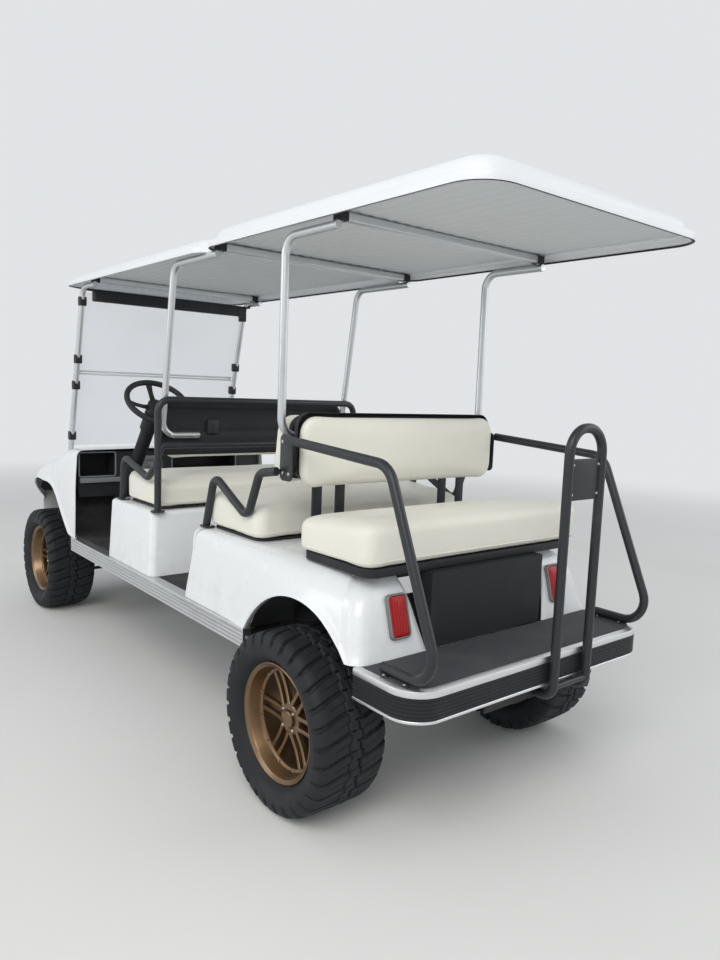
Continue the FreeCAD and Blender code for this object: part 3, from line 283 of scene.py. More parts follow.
class Wave:
    """A number that varies over a surface. Ordinary arithmetic on it adds Math nodes."""

    def __init__(self, paint, socket):
        self.paint, self.socket = paint, socket

    def math(self, operation, *values):
        return Wave(self.paint, self.paint.node("ShaderNodeMath", {"operation": operation}, *values).outputs[0])

    def __add__(self, other):
        return self.math("ADD", self, other)

    def __mul__(self, other):
        return self.math("MULTIPLY", self, other)

    def __sub__(self, other):
        return self.math("SUBTRACT", self, other)

    def __rsub__(self, other):
        return self.math("SUBTRACT", other, self)

    __radd__, __rmul__ = __add__, __mul__

    def band(self, low, high):
        """0 below low, 1 above high, and a smooth rise between them."""
        made = self.paint.node("ShaderNodeMapRange", {"interpolation_type": "SMOOTHSTEP"}, self, low, high, 0.0, 1.0)
        return Wave(self.paint, made.outputs[0])


class Paint:
    """One procedural material: its principled shader, its patterns on Object coordinates, and its bump."""

    def __init__(self, name, colour, **constants):
        self.material = PAINTS[name] = bpy.data.materials.new(name)
        self.material.use_nodes = True
        self.tree = self.material.node_tree
        self.shader = next(item for item in self.tree.nodes if item.type == "BSDF_PRINCIPLED")
        self.material.diffuse_color = (*colour, 1.0)
        self.set(Base_Color=(*colour, 1.0), **constants)
        self.place = self.node("ShaderNodeTexCoord").outputs["Object"]

    def feed(self, socket, value):
        """Links a socket to a varying value, or sets it to a constant."""
        value = value.socket if isinstance(value, Wave) else value
        if isinstance(value, bpy.types.NodeSocket):
            self.tree.links.new(value, socket)
        else:
            socket.default_value = value

    def set(self, **values):
        for key, value in values.items():
            self.feed(self.shader.inputs[key.replace("_", " ")], value)

    def node(self, kind, settings=None, *inputs, **named):
        """A node of a type: its settings first, then its sockets' values or links, by order or by name."""
        made = self.tree.nodes.new(kind)
        for key, value in (settings or {}).items():
            setattr(made, key, value)
        for socket, value in zip(made.inputs, inputs):
            self.feed(socket, value)
        for key, value in named.items():
            self.feed(made.inputs[key], value)
        return made

    def at(self, stretch):
        """Object coordinates, stretched by a scale for each axis where one is given."""
        if not stretch:
            return self.place
        return self.node("ShaderNodeMapping", None, Vector=self.place, Scale=stretch).outputs[0]

    def noise(self, scale, detail=3.0, stretch=None, rough=0.5):
        at = self.at(stretch)
        made = self.node("ShaderNodeTexNoise", None, Vector=at, Scale=scale, Detail=detail, Roughness=rough)
        return Wave(self, made.outputs[0])

    def cells(self, scale, feature="F1"):
        made = self.node("ShaderNodeTexVoronoi", {"feature": feature}, Vector=self.place, Scale=scale)
        return Wave(self, made.outputs["Distance"])

    def along(self, axis):
        """The place along one axis in metres."""
        return Wave(self, self.node("ShaderNodeSeparateXYZ", None, self.place).outputs["XYZ".index(axis)])

    def ribs(self, axis, pitch):
        """Sine of the place along an axis, once for each pitch."""
        wave = self.along(axis) * (TURN / pitch)
        return wave.math("SINE", wave)

    def tint(self, mask, colour, target="Base Color"):
        """Lays a second colour over the base, or over another colour socket, where the mask is 1."""
        base = self.shader.inputs[target]
        under = base.links[0].from_socket if base.links else tuple(base.default_value)
        made = self.node("ShaderNodeMix", {"data_type": "RGBA"}, mask)
        first, second = [socket for socket in made.inputs if socket.type == "RGBA"]
        self.feed(first, under)
        self.feed(second, (*colour, 1.0))
        self.feed(base, next(socket for socket in made.outputs if socket.type == "RGBA"))

    def relief(self, height, depth, strength):
        """Bump from a height between 0 and 1 times a depth in metres."""
        self.set(Normal=self.node("ShaderNodeBump", None, Strength=strength, Distance=depth, Height=height).outputs[0])


def finish(name, colour, rough, worn=(), bump=None, **constants):
    """One finish. Its roughness is a base plus an amount times a noise. Each worn row lays a colour over the base
    by an amount times a noise that rises between two levels. The bump's height is noise or cells."""
    paint = Paint(name, colour, **constants)
    base, amount, *pattern = rough
    paint.set(Roughness=base + paint.noise(*pattern) * amount)
    for amount, shade, low, high, *pattern in worn:
        paint.tint(paint.noise(*pattern).band(low, high) * amount, shade)
    if bump:
        kind, depth, strength, *pattern = bump
        paint.relief(getattr(paint, kind)(*pattern), depth, strength)
    return paint


def make_paints(colours):
    """Every finish of the cart, made once: first those of rows only, then those with a pattern of their own."""
    finish("satin_roof", colours.roof, (0.36, 0.18, 4.0, 5.0), [(0.1, (0.6, 0.61, 0.6), 0.5, 0.8, 1.7, 5.0)],
           ("cells", 0.0003, 0.25, 420.0), Coat_Weight=0.1)
    finish("vinyl_welt", [0.93 * part for part in colours.vinyl], (0.4, 0.2, 40.0), bump=("cells", 0.0004, 0.4, 520.0))
    finish("powder_coat", colours.tube, (0.3, 0.2, 24.0, 4.0), [(0.3, (0.075, 0.08, 0.085), 0.58, 0.8, 9.0, 6.0)],
           ("cells", 0.00025, 0.35, 900.0), Coat_Weight=0.08, Specular_IOR_Level=0.36)
    finish("brushed_aluminium", ALUMINIUM, (0.26, 0.24, 60.0, 4.0, (1.0, 1.0, 0.06)),
           [(0.35, (0.42, 0.44, 0.45), 0.5, 0.85, 7.0, 5.0)],
           ("noise", 0.00015, 0.3, 900.0, 2.0, (1.0, 1.0, 0.03)), Metallic=1.0)
    finish("ribbed_aluminium", (0.66, 0.67, 0.68), (0.24, 0.26, 50.0, 4.0, (1.0, 0.05, 1.0)),
           [(0.4, (0.36, 0.35, 0.33), 0.5, 0.8, 10.0, 6.0, (1.0, 0.3, 2.0))],
           ("noise", 0.00015, 0.3, 700.0, 2.0, (1.0, 0.02, 1.0)), Metallic=1.0)
    finish("grained_plastic", (0.016, 0.017, 0.019), (0.45, 0.2, 8.0, 4.0),
           [(0.3, (0.055, 0.056, 0.058), 0.5, 0.8, 5.0, 6.0)], ("cells", 0.0006, 0.45, 650.0, "SMOOTH_F1"),
           Specular_IOR_Level=0.32)
    finish("tyre_rubber", (0.016, 0.018, 0.021), (0.5, 0.3, 18.0, 5.0),
           [(0.35, (0.075, 0.07, 0.062), 0.48, 0.78, 9.0, 7.0, None, 0.62)], ("noise", 0.0008, 0.5, 320.0, 4.0),
           Specular_IOR_Level=0.28)
    finish("bronze_wheel", colours.wheel, (0.26, 0.2, 30.0, 4.0), [(0.35, (0.11, 0.065, 0.035), 0.52, 0.8, 13.0, 6.0)],
           ("cells", 0.0002, 0.3, 1100.0), Metallic=0.85, Coat_Weight=0.3, Coat_Roughness=0.12)
    finish("chassis_steel", (0.02, 0.02, 0.021), (0.45, 0.35, 16.0, 5.0),
           [(0.6, (0.12, 0.095, 0.07), 0.48, 0.78, 7.0, 8.0, None, 0.7)], ("noise", 0.0008, 0.5, 90.0, 5.0),
           Metallic=0.1)
    finish("spring_steel", (0.06, 0.062, 0.066), (0.36, 0.3, 40.0, 4.0),
           [(0.6, (0.13, 0.085, 0.055), 0.5, 0.75, 12.0, 8.0, None, 0.7)], ("noise", 0.0005, 0.5, 200.0),
           Metallic=0.6)
    finish("pane_channel", (0.62, 0.66, 0.66), (0.24, 0.14, 30.0), [(0.3, (0.42, 0.46, 0.46), 0.5, 0.8, 8.0, 5.0)],
           Coat_Weight=0.3)
    finish("zinc_bolt", (0.55, 0.55, 0.53), (0.26, 0.22, 80.0), bump=("noise", 0.0002, 0.4, 500.0), Metallic=1.0)
    finish("bright_edge", (0.75, 0.76, 0.77), (0.3, 0.12, 9.0), [(0.3, (0.45, 0.45, 0.44), 0.55, 0.8, 20.0, 5.0)],
           Metallic=1.0)
    finish("battery_case", (0.045, 0.047, 0.05), (0.42, 0.25, 20.0), [(0.4, (0.12, 0.11, 0.1), 0.5, 0.8, 8.0, 8.0)],
           ("cells", 0.0005, 0.4, 300.0))
    finish("grey_moulding", (0.2, 0.21, 0.22), (0.42, 0.2, 12.0, 4.0), [(0.3, (0.32, 0.33, 0.34), 0.5, 0.8, 6.0, 6.0)],
           ("cells", 0.0004, 0.4, 600.0))

    body = finish("gloss_body", colours.body, (0.2, 0.16, 3.2, 4.0), bump=("noise", 0.0004, 0.25, 55.0, 2.0),
                  Coat_Weight=0.35, Coat_Roughness=0.08)
    low = 1.0 - body.along("Z").band(0.5, 0.72)
    body.tint(low * body.noise(14.0, 6.0).band(0.42, 0.75) * 0.28, (0.5, 0.47, 0.42))

    lining = finish("roof_lining", ALUMINIUM, (0.5, 0.2, 6.0))
    ribs = lining.ribs("X", LINING_PITCH).band(-0.7, 0.5)
    # Painted shade: the grooves between the ribs are tinted a darker grey, where shade falls in them.
    lining.tint((1.0 - ribs) * 0.12, (0.42, 0.44, 0.45))
    lining.relief(lining.noise(26.0, 4.0) * 0.4 + ribs * 0.6, 0.0012, 0.5)

    vinyl = finish("cream_vinyl", colours.vinyl, (0.36, 0.16, 5.0, 4.0),
                   [(0.16, (0.72, 0.66, 0.53), 0.45, 0.8, 2.3, 4.0)], Coat_Weight=0.08, Sheen_Weight=0.06)
    grain = vinyl.cells(430.0, "DISTANCE_TO_EDGE").band(0.0, 0.16)
    vinyl.tint((1.0 - grain) * 0.1, (0.5, 0.46, 0.38))
    vinyl.relief(grain * 0.5 + vinyl.noise(11.0, 5.0, rough=0.6) * 0.9, 0.0011, 0.4)

    mat = finish("ribbed_mat", (0.048, 0.052, 0.058), (0.55, 0.3, 12.0, 5.0),
                 [(0.45, (0.115, 0.117, 0.118), 0.42, 0.75, 6.0, 8.0, None, 0.65)], Specular_IOR_Level=0.35)
    rows = mat.ribs("X", 0.011).band(-0.3, 0.6)
    # Painted highlight: the rib crests are tinted a lighter bluish grey, as light catches them.
    mat.tint(rows * 0.3, (0.082, 0.086, 0.092))
    mat.relief(rows * 0.8 + mat.noise(120.0) * 0.25, 0.0016, 0.8)

    mat = finish("floor_mat", (0.02, 0.02, 0.022), (0.6, 0.3, 12.0, 5.0),
                 [(0.5, (0.1, 0.09, 0.075), 0.45, 0.75, 5.0, 8.0, None, 0.65)])
    mat.relief(mat.ribs("Y", 0.016).band(-0.2, 0.6) * 0.8 + mat.noise(120.0) * 0.25, 0.0018, 0.8)

    pane = Paint("clear_screen", (0.52, 0.6, 0.72), IOR=1.46)
    pane.set(Roughness=0.04 + pane.noise(4.0, 5.0).band(0.4, 0.8) * 0.1,
             Alpha=0.13 + pane.noise(2.0, 5.0).band(0.45, 0.85) * 0.07)
    pane.material.surface_render_method = "BLENDED"

    red = finish("red_lens", (0.3, 0.002, 0.003), (0.16, 0.08, 20.0), Coat_Weight=0.15, Coat_Roughness=0.05,
                 Specular_IOR_Level=0.25)
    clear = finish("clear_lens", (0.75, 0.77, 0.78), (0.08, 0.1, 40.0), Coat_Weight=0.7, Coat_Roughness=0.03)
    for lens, pitch, low, high, amount, shade, depth, strength in (
            (red, 0.0105, -0.6, 0.9, 0.6, (0.6, 0.006, 0.006), 0.0008, 0.35),
            (clear, 0.009, -0.4, 0.8, 0.3, (0.42, 0.44, 0.46), 0.0014, 0.6)):
        flutes = lens.ribs("X", pitch)
        lens.tint(flutes.band(low, high) * amount, shade)
        lens.relief(flutes, depth, strength)

    ground = finish("pale_floor", colours.floor, (0.62, 0.2, 2.0, 5.0), [(0.12, (0.52, 0.52, 0.5), 0.4, 0.8, 0.6, 5.0)],
                    ("noise", 0.001, 0.2, 60.0, 4.0), Specular_IOR_Level=0.0, Emission_Color=(0.0, 0.0, 0.0, 1.0),
                    Emission_Strength=1.0)
    across, deep = ground.along("X"), ground.along("Y")
    far = (across * across + deep * deep).band(8.0, 110.0)
    ground.tint(far, (0.0, 0.0, 0.0))
    ground.tint(far, HORIZON, "Emission Color")


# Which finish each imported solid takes, should it be shown
SOLID_FINISHES = {
    "chassis_steel": "chassis_frame front_axle rear_axle knuckle_left knuckle_right tie_rod",
    "spring_steel": "leaf_springs",
    "battery_case": "battery_pack",
    "grained_plastic": "arch_liners dashboard pedals rear_panel seat_trays steering_column footplate_band light_bar "
                       "front_bumper windshield_frame backrest_shells",
    "floor_mat": "floor",
    "ribbed_mat": "footplate_mat",
    "powder_coat": "arm_rests handrails grab_bar seat_frames steering_wheel",
    "brushed_aluminium": "struts roof_cross_bars footplate",
    "ribbed_aluminium": "rocker_panels",
    "gloss_body": "front_cowl rear_body seat_pod",
    "satin_roof": "roof",
    "cream_vinyl": "front_cushion middle_cushion rear_cushion front_backrest middle_backrest rear_backrest",
    "tyre_rubber": "tyre_front_left tyre_front_right tyre_rear_left tyre_rear_right",
    "bronze_wheel": "rim_front_left rim_front_right rim_rear_left rim_rear_right",
    "clear_screen": "windshield",
    "clear_lens": "headlamps",
    "red_lens": "tail_lamps",
}


def paint_solids():
    """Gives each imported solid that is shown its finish; the meshes themselves stay as they are."""
    for finish_name, names in SOLID_FINISHES.items():
        for name in names.split():
            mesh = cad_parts[name].data
            mesh.materials.clear()
            mesh.materials.append(PAINTS[finish_name])


# Wheels

TYRE_R, TREAD_HALF, RIB_AT = 0.288, 0.0955, 0.021
WHEELS = (("front_left", 0.491, fy(0.0), 1), ("front_right", -0.491, fy(0.0), -1),
          ("rear_left", 0.533, ry(0.0), 1), ("rear_right", -0.533, ry(0.0), -1))
TYRE_SIDE = ((0.088, 0.181), (0.094, 0.192), (0.099, 0.1965), (0.104, 0.2), (0.112, 0.207), (0.118, 0.216),
             (0.1228, 0.228), (0.1252, 0.2385), (0.1254, 0.245), (0.1244, 0.252), (0.1222, 0.26), (0.119, 0.268),
             (0.1145, 0.2748), (0.1085, 0.28), (0.101, 0.2838))
BARREL = ((0.1, 0.1855), (0.0985, 0.1885), (0.094, 0.189), (0.0915, 0.186), (0.091, 0.178), (-0.091, 0.178),
          (-0.0915, 0.186), (-0.096, 0.189), (-0.1, 0.187), (-0.1, 0.174), (-0.06, 0.166), (0.02, 0.161),
          (0.031, 0.16), (0.031, 0.1555), (0.046, 0.1535), (0.0485, 0.1545), (0.05, 0.158), (0.0525, 0.1625),
          (0.06, 0.1655), (0.085, 0.1715), (0.0915, 0.1745), (0.095, 0.1805), (0.0985, 0.183))
HUB = ((-0.022, 0.016), (-0.022, 0.05), (0.036, 0.052), (0.0435, 0.049), (0.0455, 0.046), (0.0455, 0.031),
       (0.043, 0.029), (0.043, 0.0275), (0.0535, 0.0265), (0.0558, 0.0235), (0.0562, 0.012), (0.0562, 0.002))


def wheel_points(along, radius, turn, x, y, side):
    """Wheel coordinates to the cart's: along the axle outwards, a radius, and a turn round the axle."""
    return np.stack([x + side * along, y + radius * np.cos(turn), TYRE_R + radius * np.sin(turn)], axis=-1)


def groove(distance, half, soft):
    """1 at the middle of a groove, 0 past its edge."""
    return 1 - np.clip((np.abs(distance) - half) / soft, 0, 1)


def tyre_part(x, y, side, blocks):
    """Tyre with block tread, on a grid of turn by place across the section.

    The section runs bead, sidewall, shoulder, crown and back. The tread's grooves lower the radius by a depth
    times a mask; the mask is a product of smooth steps of the distance to slanted groove lines, which curve with
    the place across, and it fades out half way down the shoulder."""
    across = np.linspace(TREAD_HALF, -TREAD_HALF, 45)
    crown = np.stack([across, 0.2853 + 0.0022 * (1 - (across / TREAD_HALF) ** 2)], axis=-1)
    section = np.concatenate([TYRE_SIDE, crown, np.array(TYRE_SIDE)[::-1] * (-1, 1)])
    outward = unit(np.stack([np.gradient(section[:, 1]), -np.gradient(section[:, 0])], axis=-1))
    outward = outward * np.sign((outward * (section - (0, 0.2))).sum(axis=1))[:, None]
    along, radius = section[None, :, 0], section[None, :, 1]
    turn = np.linspace(0, TURN, 600, endpoint=False)[:, None]
    pitch, wave = TURN / blocks, np.sin(turn * blocks)
    zigzag = 0.0045 * np.sign(wave) * np.clip(np.abs(wave) * 4, 0, 1)
    ribs = np.maximum(groove(along - RIB_AT - zigzag, 0.0025, 0.002), groove(along + RIB_AT - zigzag, 0.0025, 0.002))
    share = np.abs(along) / TREAD_HALF
    sway = 0.416 * pitch * np.clip(share, 0, 1.5) ** 1.5
    place = turn + np.where(along > 0, sway, 0.5 * pitch - sway)
    slot, sipe = (TYRE_R * ((place + shift) % pitch - pitch / 2) for shift in (pitch / 2, pitch))
    lateral = groove(slot, np.where(np.abs(along) < RIB_AT, 0.0014, 0.0042 + 0.002 * share), 0.002)
    small = 0.35 * groove(sipe, 0.0009, 0.0011) * (np.abs(along) > 0.03) * (np.abs(along) < 0.075)
    mask = np.maximum(np.maximum(ribs, lateral), small) * np.clip((radius - 0.246) / 0.014, 0, 1)
    lugs = 0.0022 * np.clip((radius - 0.238) / 0.008, 0, 1) * np.clip((0.283 - radius) / 0.004, 0, 1)
    rings = 0.0007 * (groove(radius - 0.222, 0.0012, 0.001) + groove(radius - 0.206, 0.0006, 0.0008))
    lift = lugs * (1 - groove(slot, 0.008, 0.002)) - 0.0095 * mask + rings
    points = wheel_points(along + lift * outward[None, :, 0], radius + lift * outward[None, :, 1], turn, x, y, side)
    return sheet_of(points if side > 0 else points[::-1], close_rows=True)


def wheel_part(x, y, side):
    """Deep-dish wheel: barrel and hub turned round the axle, and six pairs of parallel spokes.

    A spoke is a bar with eased edges, a little deeper in its middle and wider at its ends."""
    centre, axis = (x, y, TYRE_R), (side, 0, 0)
    parts = [lathe(BARREL, centre, axis, 120, closed=True), lathe(HUB, centre, axis, 72)]
    levels, ease = np.linspace(0, 1, 9), 0.0022
    reach = np.repeat((0.04 + 0.118 * levels)[:, None], 6, axis=1)
    back, face = 0.028 + 0 * levels, 0.0475 - 0.005 * np.sin(levels * math.pi)
    width = 0.0062 * (1 + 0.35 * (2 * levels - 1) ** 4)
    v = np.stack([back, back, face - ease, face, face, face - ease], axis=-1)
    for pair in range(6):
        for offset in (-0.018, 0.018):
            u = np.stack([-width, width, width, width - ease, ease - width, -width], axis=-1) + offset
            turn = pair * math.pi / 3 + np.arctan2(u, reach)
            parts.append(sheet_of(wheel_points(v, np.hypot(reach, u), turn, x, y, side), close_columns=True, caps=True))
    return joined(parts)


def wheel_small(x, y, side):
    """Lug nuts, the bolts of the lip and the valve stem."""
    nut = ((0, 0.0065), (0.007, 0.0065), (0.0098, 0.0045), (0.0102, 0.001))
    lip_bolt = ((0, 0.0038), (0.0028, 0.0036), (0.0034, 0.0008))
    stem = ((0, 0.0042), (0.014, 0.0042), (0.016, 0.0032), (0.022, 0.0032), (0.0228, 0.001))
    rows = [(0.044, 0.0385, (step + 0.5) * QUARTER, nut, 6) for step in range(4)]
    rows += [(0.0528, 0.1605, (step + 0.5) * math.pi / 6, lip_bolt, 6) for step in range(12)]
    rows.append((0.058, 0.1625, 0.35, stem, 14))
    return joined([lathe(shape, wheel_points(along, radius, turn, x, y, side), (side, 0, 0), around)
                   for along, radius, turn, shape, around in rows])


# Panels of the body

REAR_FRONT, TAIL, TAIL_TOP, TAIL_LOW, TAIL_RISE = -0.740, 0.298, 0.238, 0.541, 0.217
REAR_TOP, SILL = 0.784, 0.512
ARCH_R, ARCH_Z = 0.290, 0.390
HALF_LOW = ((-0.75, 0.590), (-0.34, 0.592), (0.02, 0.594), (0.31, 0.566))
HALF_TOP = ((-0.75, 0.562), (-0.34, 0.548), (0.02, 0.536), (0.31, 0.500))
SHOULDER = ((-0.75, 0.030), (-0.34, 0.052), (0.02, 0.092), (0.31, 0.098))
NOSE = -0.330
COWL_HALF_LOW = ((-0.40, 0.42), (-0.36, 0.45), (-0.28, 0.54), (-0.06, 0.586), (0.24, 0.592), (0.62, 0.590))
COWL_HALF_TOP = ((-0.40, 0.36), (-0.36, 0.415), (-0.28, 0.505), (-0.06, 0.560), (0.24, 0.574), (0.62, 0.556))
COWL_TOP = ((-0.40, 0.640), (-0.36, 0.675), (-0.28, 0.745), (-0.06, 0.850), (0.24, 0.945), (0.40, 0.962),
            (0.62, 0.968))
COWL_SHOULDER = ((-0.40, 0.06), (-0.28, 0.12), (-0.06, 0.145), (0.24, 0.12), (0.42, 0.06), (0.62, 0.030))
COWL_EDGE = ((-0.40, 0.43), (-0.395, 0.47), (-0.385, 0.53), (-0.36, 0.565), (-0.30, 0.64), (-0.24, 0.70),
             (-0.17, 0.738), (-0.06, 0.752), (0.06, 0.754), (0.16, 0.752), (0.23, 0.735), (0.29, 0.700),
             (0.35, 0.650), (0.41, 0.600), (0.47, 0.555), (0.52, 0.522), (0.545, 0.514), (0.62, 0.513))
LIP, WALL, ROUND, DECK = range(4)


def smooth(table, at):
    """Value of a table of (place, value) rows at each place: a cubic between rows, with the rows' own slopes."""
    xs, ys = np.array(table, float).T
    slope = np.gradient(ys, xs)
    index = np.clip(np.searchsorted(xs, at) - 1, 0, len(xs) - 2)
    width = xs[index + 1] - xs[index]
    t = np.clip((at - xs[index]) / width, 0, 1)
    far = 3 * t ** 2 - 2 * t ** 3
    return ((1 - far) * ys[index] + (t ** 3 - 2 * t ** 2 + t) * width * slope[index] + far * ys[index + 1]
            + (t ** 3 - t ** 2) * width * slope[index + 1])


def shell_levels(steps):
    """Levels of a body wall as rows of kinds and shares: turned-in lip, wall, shoulder's quarter turn, deck."""
    shares = ((0.0, 0.5, 1.0), (0.015, 0.03, 0.05, *np.linspace(0.08, 1.0, steps)), np.linspace(0.1, 1.0, 10),
              (0.3, 0.65, 1.0))
    return (np.repeat(range(4), [len(row) for row in shares])[None, :], np.concatenate(shares)[None, :])


def wall_profile(kind, share, low, knee, top, lip):
    """Height and inset at each level: the wall rises evenly, then the height follows a sine and the inset one
    minus the cosine over the shoulder, and the deck stays level."""
    drop = top - knee
    height = np.select([kind == LIP, kind == WALL, kind == ROUND],
                       [low + 0 * share, low + (knee - low) * share, knee + drop * np.sin(share * QUARTER)], top)
    inset = np.select([kind == LIP, kind == ROUND, kind == DECK],
                      [lip * (1 - share), drop * (1 - np.cos(share * QUARTER)), drop], 0.0)
    return height, inset


def rolled_edge(height, low):
    """Bead along an opening: it fades with the square of the distance above the edge."""
    return 0.007 * np.exp(-((height - low) / 0.017) ** 2)


def rear_shell():
    """Rear body as one sheet: outline samples by levels.

    The outline in plan runs along the tail from a gap, round the corner, forward along the side, round the front
    corner and in along the front wall. The lower edge is the arch's circle over the wheel, the sill in front and
    the footplate behind; the deck draws in towards the middle."""
    kind, share = shell_levels(16)
    tail_r, front_r, side_end = 0.055, 0.024, TAIL - 0.075
    along = np.concatenate([np.linspace(side_end, -0.70, 90), ARCH_R * np.sin(np.linspace(-1.5, 1.5, 90)) * 0.91,
                            np.linspace(0.235, 0.26, 8), np.linspace(-0.275, -0.255, 8)])
    along = np.unique(np.round(along, 4))[::-1]
    columns = []
    for part, values, fixed in (("tail", np.linspace(0, 1, 10), TAIL), ("round", np.linspace(0, 1, 12)[1:-1], TAIL),
                                ("side", along[along <= side_end], 0), ("bend", np.linspace(0, 1, 8)[1:-1], -0.72),
                                ("front", np.linspace(0, 1, 14), -0.74)):
        value = values[:, None]
        base = value if part == "side" else 0 * value + fixed
        arch = ARCH_Z + np.sqrt(np.clip(ARCH_R ** 2 - base ** 2, 0, None)) * (np.abs(base) < ARCH_R)
        low = np.maximum(np.where(base > 0, 0.544, SILL + 0.001), arch)
        top = REAR_TOP - 0.008 * np.clip((base - 0.02) / 0.28, 0, 1) ** 2
        drop = smooth(SHOULDER, base) * (0.9 if part in ("bend", "front") else 1.0)
        height, inset = wall_profile(kind, share, low, top - drop, top, 0.013)
        swell = rolled_edge(height, low) * (kind < ROUND) * (share > 0) * np.exp(-(base / 0.36) ** 6)
        rise = np.clip((height - SILL) / (REAR_TOP - SILL), 0, 1)
        bulge = 0.012 * np.exp(-((base - 0.02) / 0.24) ** 2) * np.sin(rise * math.pi)
        half = smooth(HALF_LOW, base) * (1 - rise) + smooth(HALF_TOP, base) * rise + bulge + swell - inset
        lean = (height - TAIL_LOW) / TAIL_RISE
        tail = TAIL - (TAIL - TAIL_TOP) * np.clip(lean, 0, 1.1) - inset * 0.5
        front = REAR_FRONT + 0.036 * rise + inset
        gap = 0.283 + 0.056 * np.clip(lean, 0, 1)
        sin, cos = np.sin(value * QUARTER), np.cos(value * QUARTER)
        if part == "tail":
            x, y = gap + (half - tail_r - gap) * value, tail
        elif part == "round":
            x, y = half - tail_r * (1 - sin), tail - tail_r * (1 - cos)
        elif part == "side":
            back = np.clip((value - 0.1) / (side_end - 0.1), 0, 1) ** 2
            x, y = half, value + (0.02 - np.clip(TAIL - tail, 0, 1)) * back
        elif part == "bend":
            x, y = half - front_r * (1 - cos), front + front_r * (1 - sin)
        else:
            x, y = (half - front_r) * (1 - value), front
        x, y, height = np.broadcast_arrays(x, y, height)
        inward = np.where(kind == DECK, share, 0)
        y = y + (np.clip(y, -0.5, 0.15) - y) * inward
        columns.append(np.stack([x * (1 - 0.97 * inward), ry(0) + y, height], axis=-1))
    left = np.concatenate(columns)
    return np.concatenate([left, left[-2::-1] * (-1, 1, 1)])


def cowl_shell():
    """Front body as one sheet: stations along the cart by levels across.

    Each station is a leaning wall from the arch's edge to the knee, a shoulder whose height follows a sine and
    width a cosine, and a hood that rises to the middle by a crown times one minus the square of the share. The
    rear edge leans back towards the sill."""
    station = np.concatenate([np.linspace(NOSE, 0.19, 48), np.linspace(0.2, 0.6, 60)])[:, None]
    low, top = smooth(COWL_EDGE, station), smooth(COWL_TOP, station)
    kind, share = shell_levels(14)
    knee = np.maximum(top - smooth(COWL_SHOULDER, station), low + 0.01)
    height, inset = wall_profile(kind, share, low, knee, top, 0.012)
    rise = np.clip((height - SILL) / np.maximum(top - SILL, 0.1), 0, 1)
    swell = rolled_edge(height, low) * (kind < ROUND) * np.clip((0.56 - station) / 0.05, 0, 1)
    half = smooth(COWL_HALF_LOW, station) * (1 - rise) + smooth(COWL_HALF_TOP, station) * rise - inset + swell
    hood = np.linspace(0, 1, 16)[None, 1:]
    crown = smooth(((-0.4, 0.014), (0.24, 0.012), (0.62, 0.005)), station)
    x = np.concatenate([half[:, :-3], half[:, -4:-3] * (1 - hood)], axis=1)
    z = np.concatenate([height[:, :-3], height[:, -4:-3] + crown * (1 - (1 - hood) ** 2)], axis=1)
    door = smooth(((0.50, 0.601), (0.60, 0.585), (0.79, 0.552), (1.0, 0.545)), z)
    y = np.where(station > 0.5, 0.5 + (door - 0.5) * (station - 0.5) / 0.1, station + 0 * z)
    left = np.stack([x, fy(0) + y, z], axis=-1)
    return np.concatenate([left, left[:, -2::-1] * (-1, 1, 1)], axis=1)


def fascia(shell):
    """Nose: the shell's first row, without its walls, carried forwards and down.

    Each point of the row follows a quarter ellipse to the upright face and then falls straight to the valance;
    the face draws in a little and bows back towards its sides with the fourth power of the place across."""
    rim = shell[0][19:-19]
    turn = np.linspace(0, QUARTER, 9)[:, None]
    fall = np.array([0.2, 0.45, 0.7, 0.88, 0.96, 1.0])[:, None]
    side = (np.abs(rim[:, 0]) / np.abs(rim[:, 0]).max())[None, :] ** 4
    foot = 0.440 + 0.02 * side
    z_round = rim[:, 2] - 0.085 * (1 - np.cos(turn)) * np.clip((rim[:, 2] - foot) / 0.16, 0.2, 1)
    z = np.concatenate([z_round, z_round[-1:] + (foot - z_round[-1:]) * fall, foot + 0.003])
    x = rim[:, 0] * (1 - 0.05 * np.concatenate([np.zeros((9, 1)), fall, [[1.0]]]))
    out = np.concatenate([-0.036 * np.sin(turn), 0.008 * fall ** 2 - 0.036, [[-0.014]]])
    return np.stack([x, rim[:, 1] + out * (1 - 0.25 * side), z], axis=-1)


def wall_between(rows):
    """Rounded-rectangle outlines in plan at a set of heights: rows of (z, half width, y front, y rear, radius)."""
    z, half, front, rear, radius = np.array(rows, float).T
    shape = rounded(half, (rear - front) / 2, radius, 8)
    y = (rear + front)[:, None] / 2 + shape[..., 1]
    return np.stack([shape[..., 0], y, z[:, None] + 0 * y], axis=-1)


def pod_shell():
    """Seat pod: plan outlines that draw in with height, an eased top edge and an open hatch."""
    share = np.concatenate([[0, 0.02, 0.04], np.linspace(0.08, 0.93, 10)])
    rows = [(0.513 + 0.265 * s, 0.586 - 0.038 * s, fy(1.051 - 0.058 * s), fy(1.545 - 0.066 * s), 0.03) for s in share]
    foot, last = rows[0], rows[-1]
    for turn in np.linspace(0, QUARTER, 7)[1:]:
        draw = 0.02 * (1 - math.cos(turn))
        z = 0.7595 + 0.0185 * math.sin(turn)
        rows.append((z, last[1] - draw, last[2] + draw, last[3] - draw, 0.03 - draw * 0.6))
    lip = (foot[0], foot[1] - 0.014, foot[2] + 0.014, foot[3] - 0.014, 0.02)
    hatch = ((0.778, 0.50, fy(1.06), fy(1.42), 0.02), (0.776, 0.46, fy(1.11), fy(1.41), 0.02))
    return wall_between([lip, *rows, *hatch])


ROOF_HALF, ROOF_LOW = 0.526, 1.830
ROOF_LEVELS = ((0.0, 0.0), (0.004, -0.0005), (0.020, 0.0), (0.0245, 0.002), (0.0265, 0.006), (0.0275, 0.022),
               (0.030, 0.026), (0.045, 0.030), (0.058, 0.036), (0.067, 0.044), (0.074, 0.056), (0.079, 0.074),
               (0.082, 0.105))


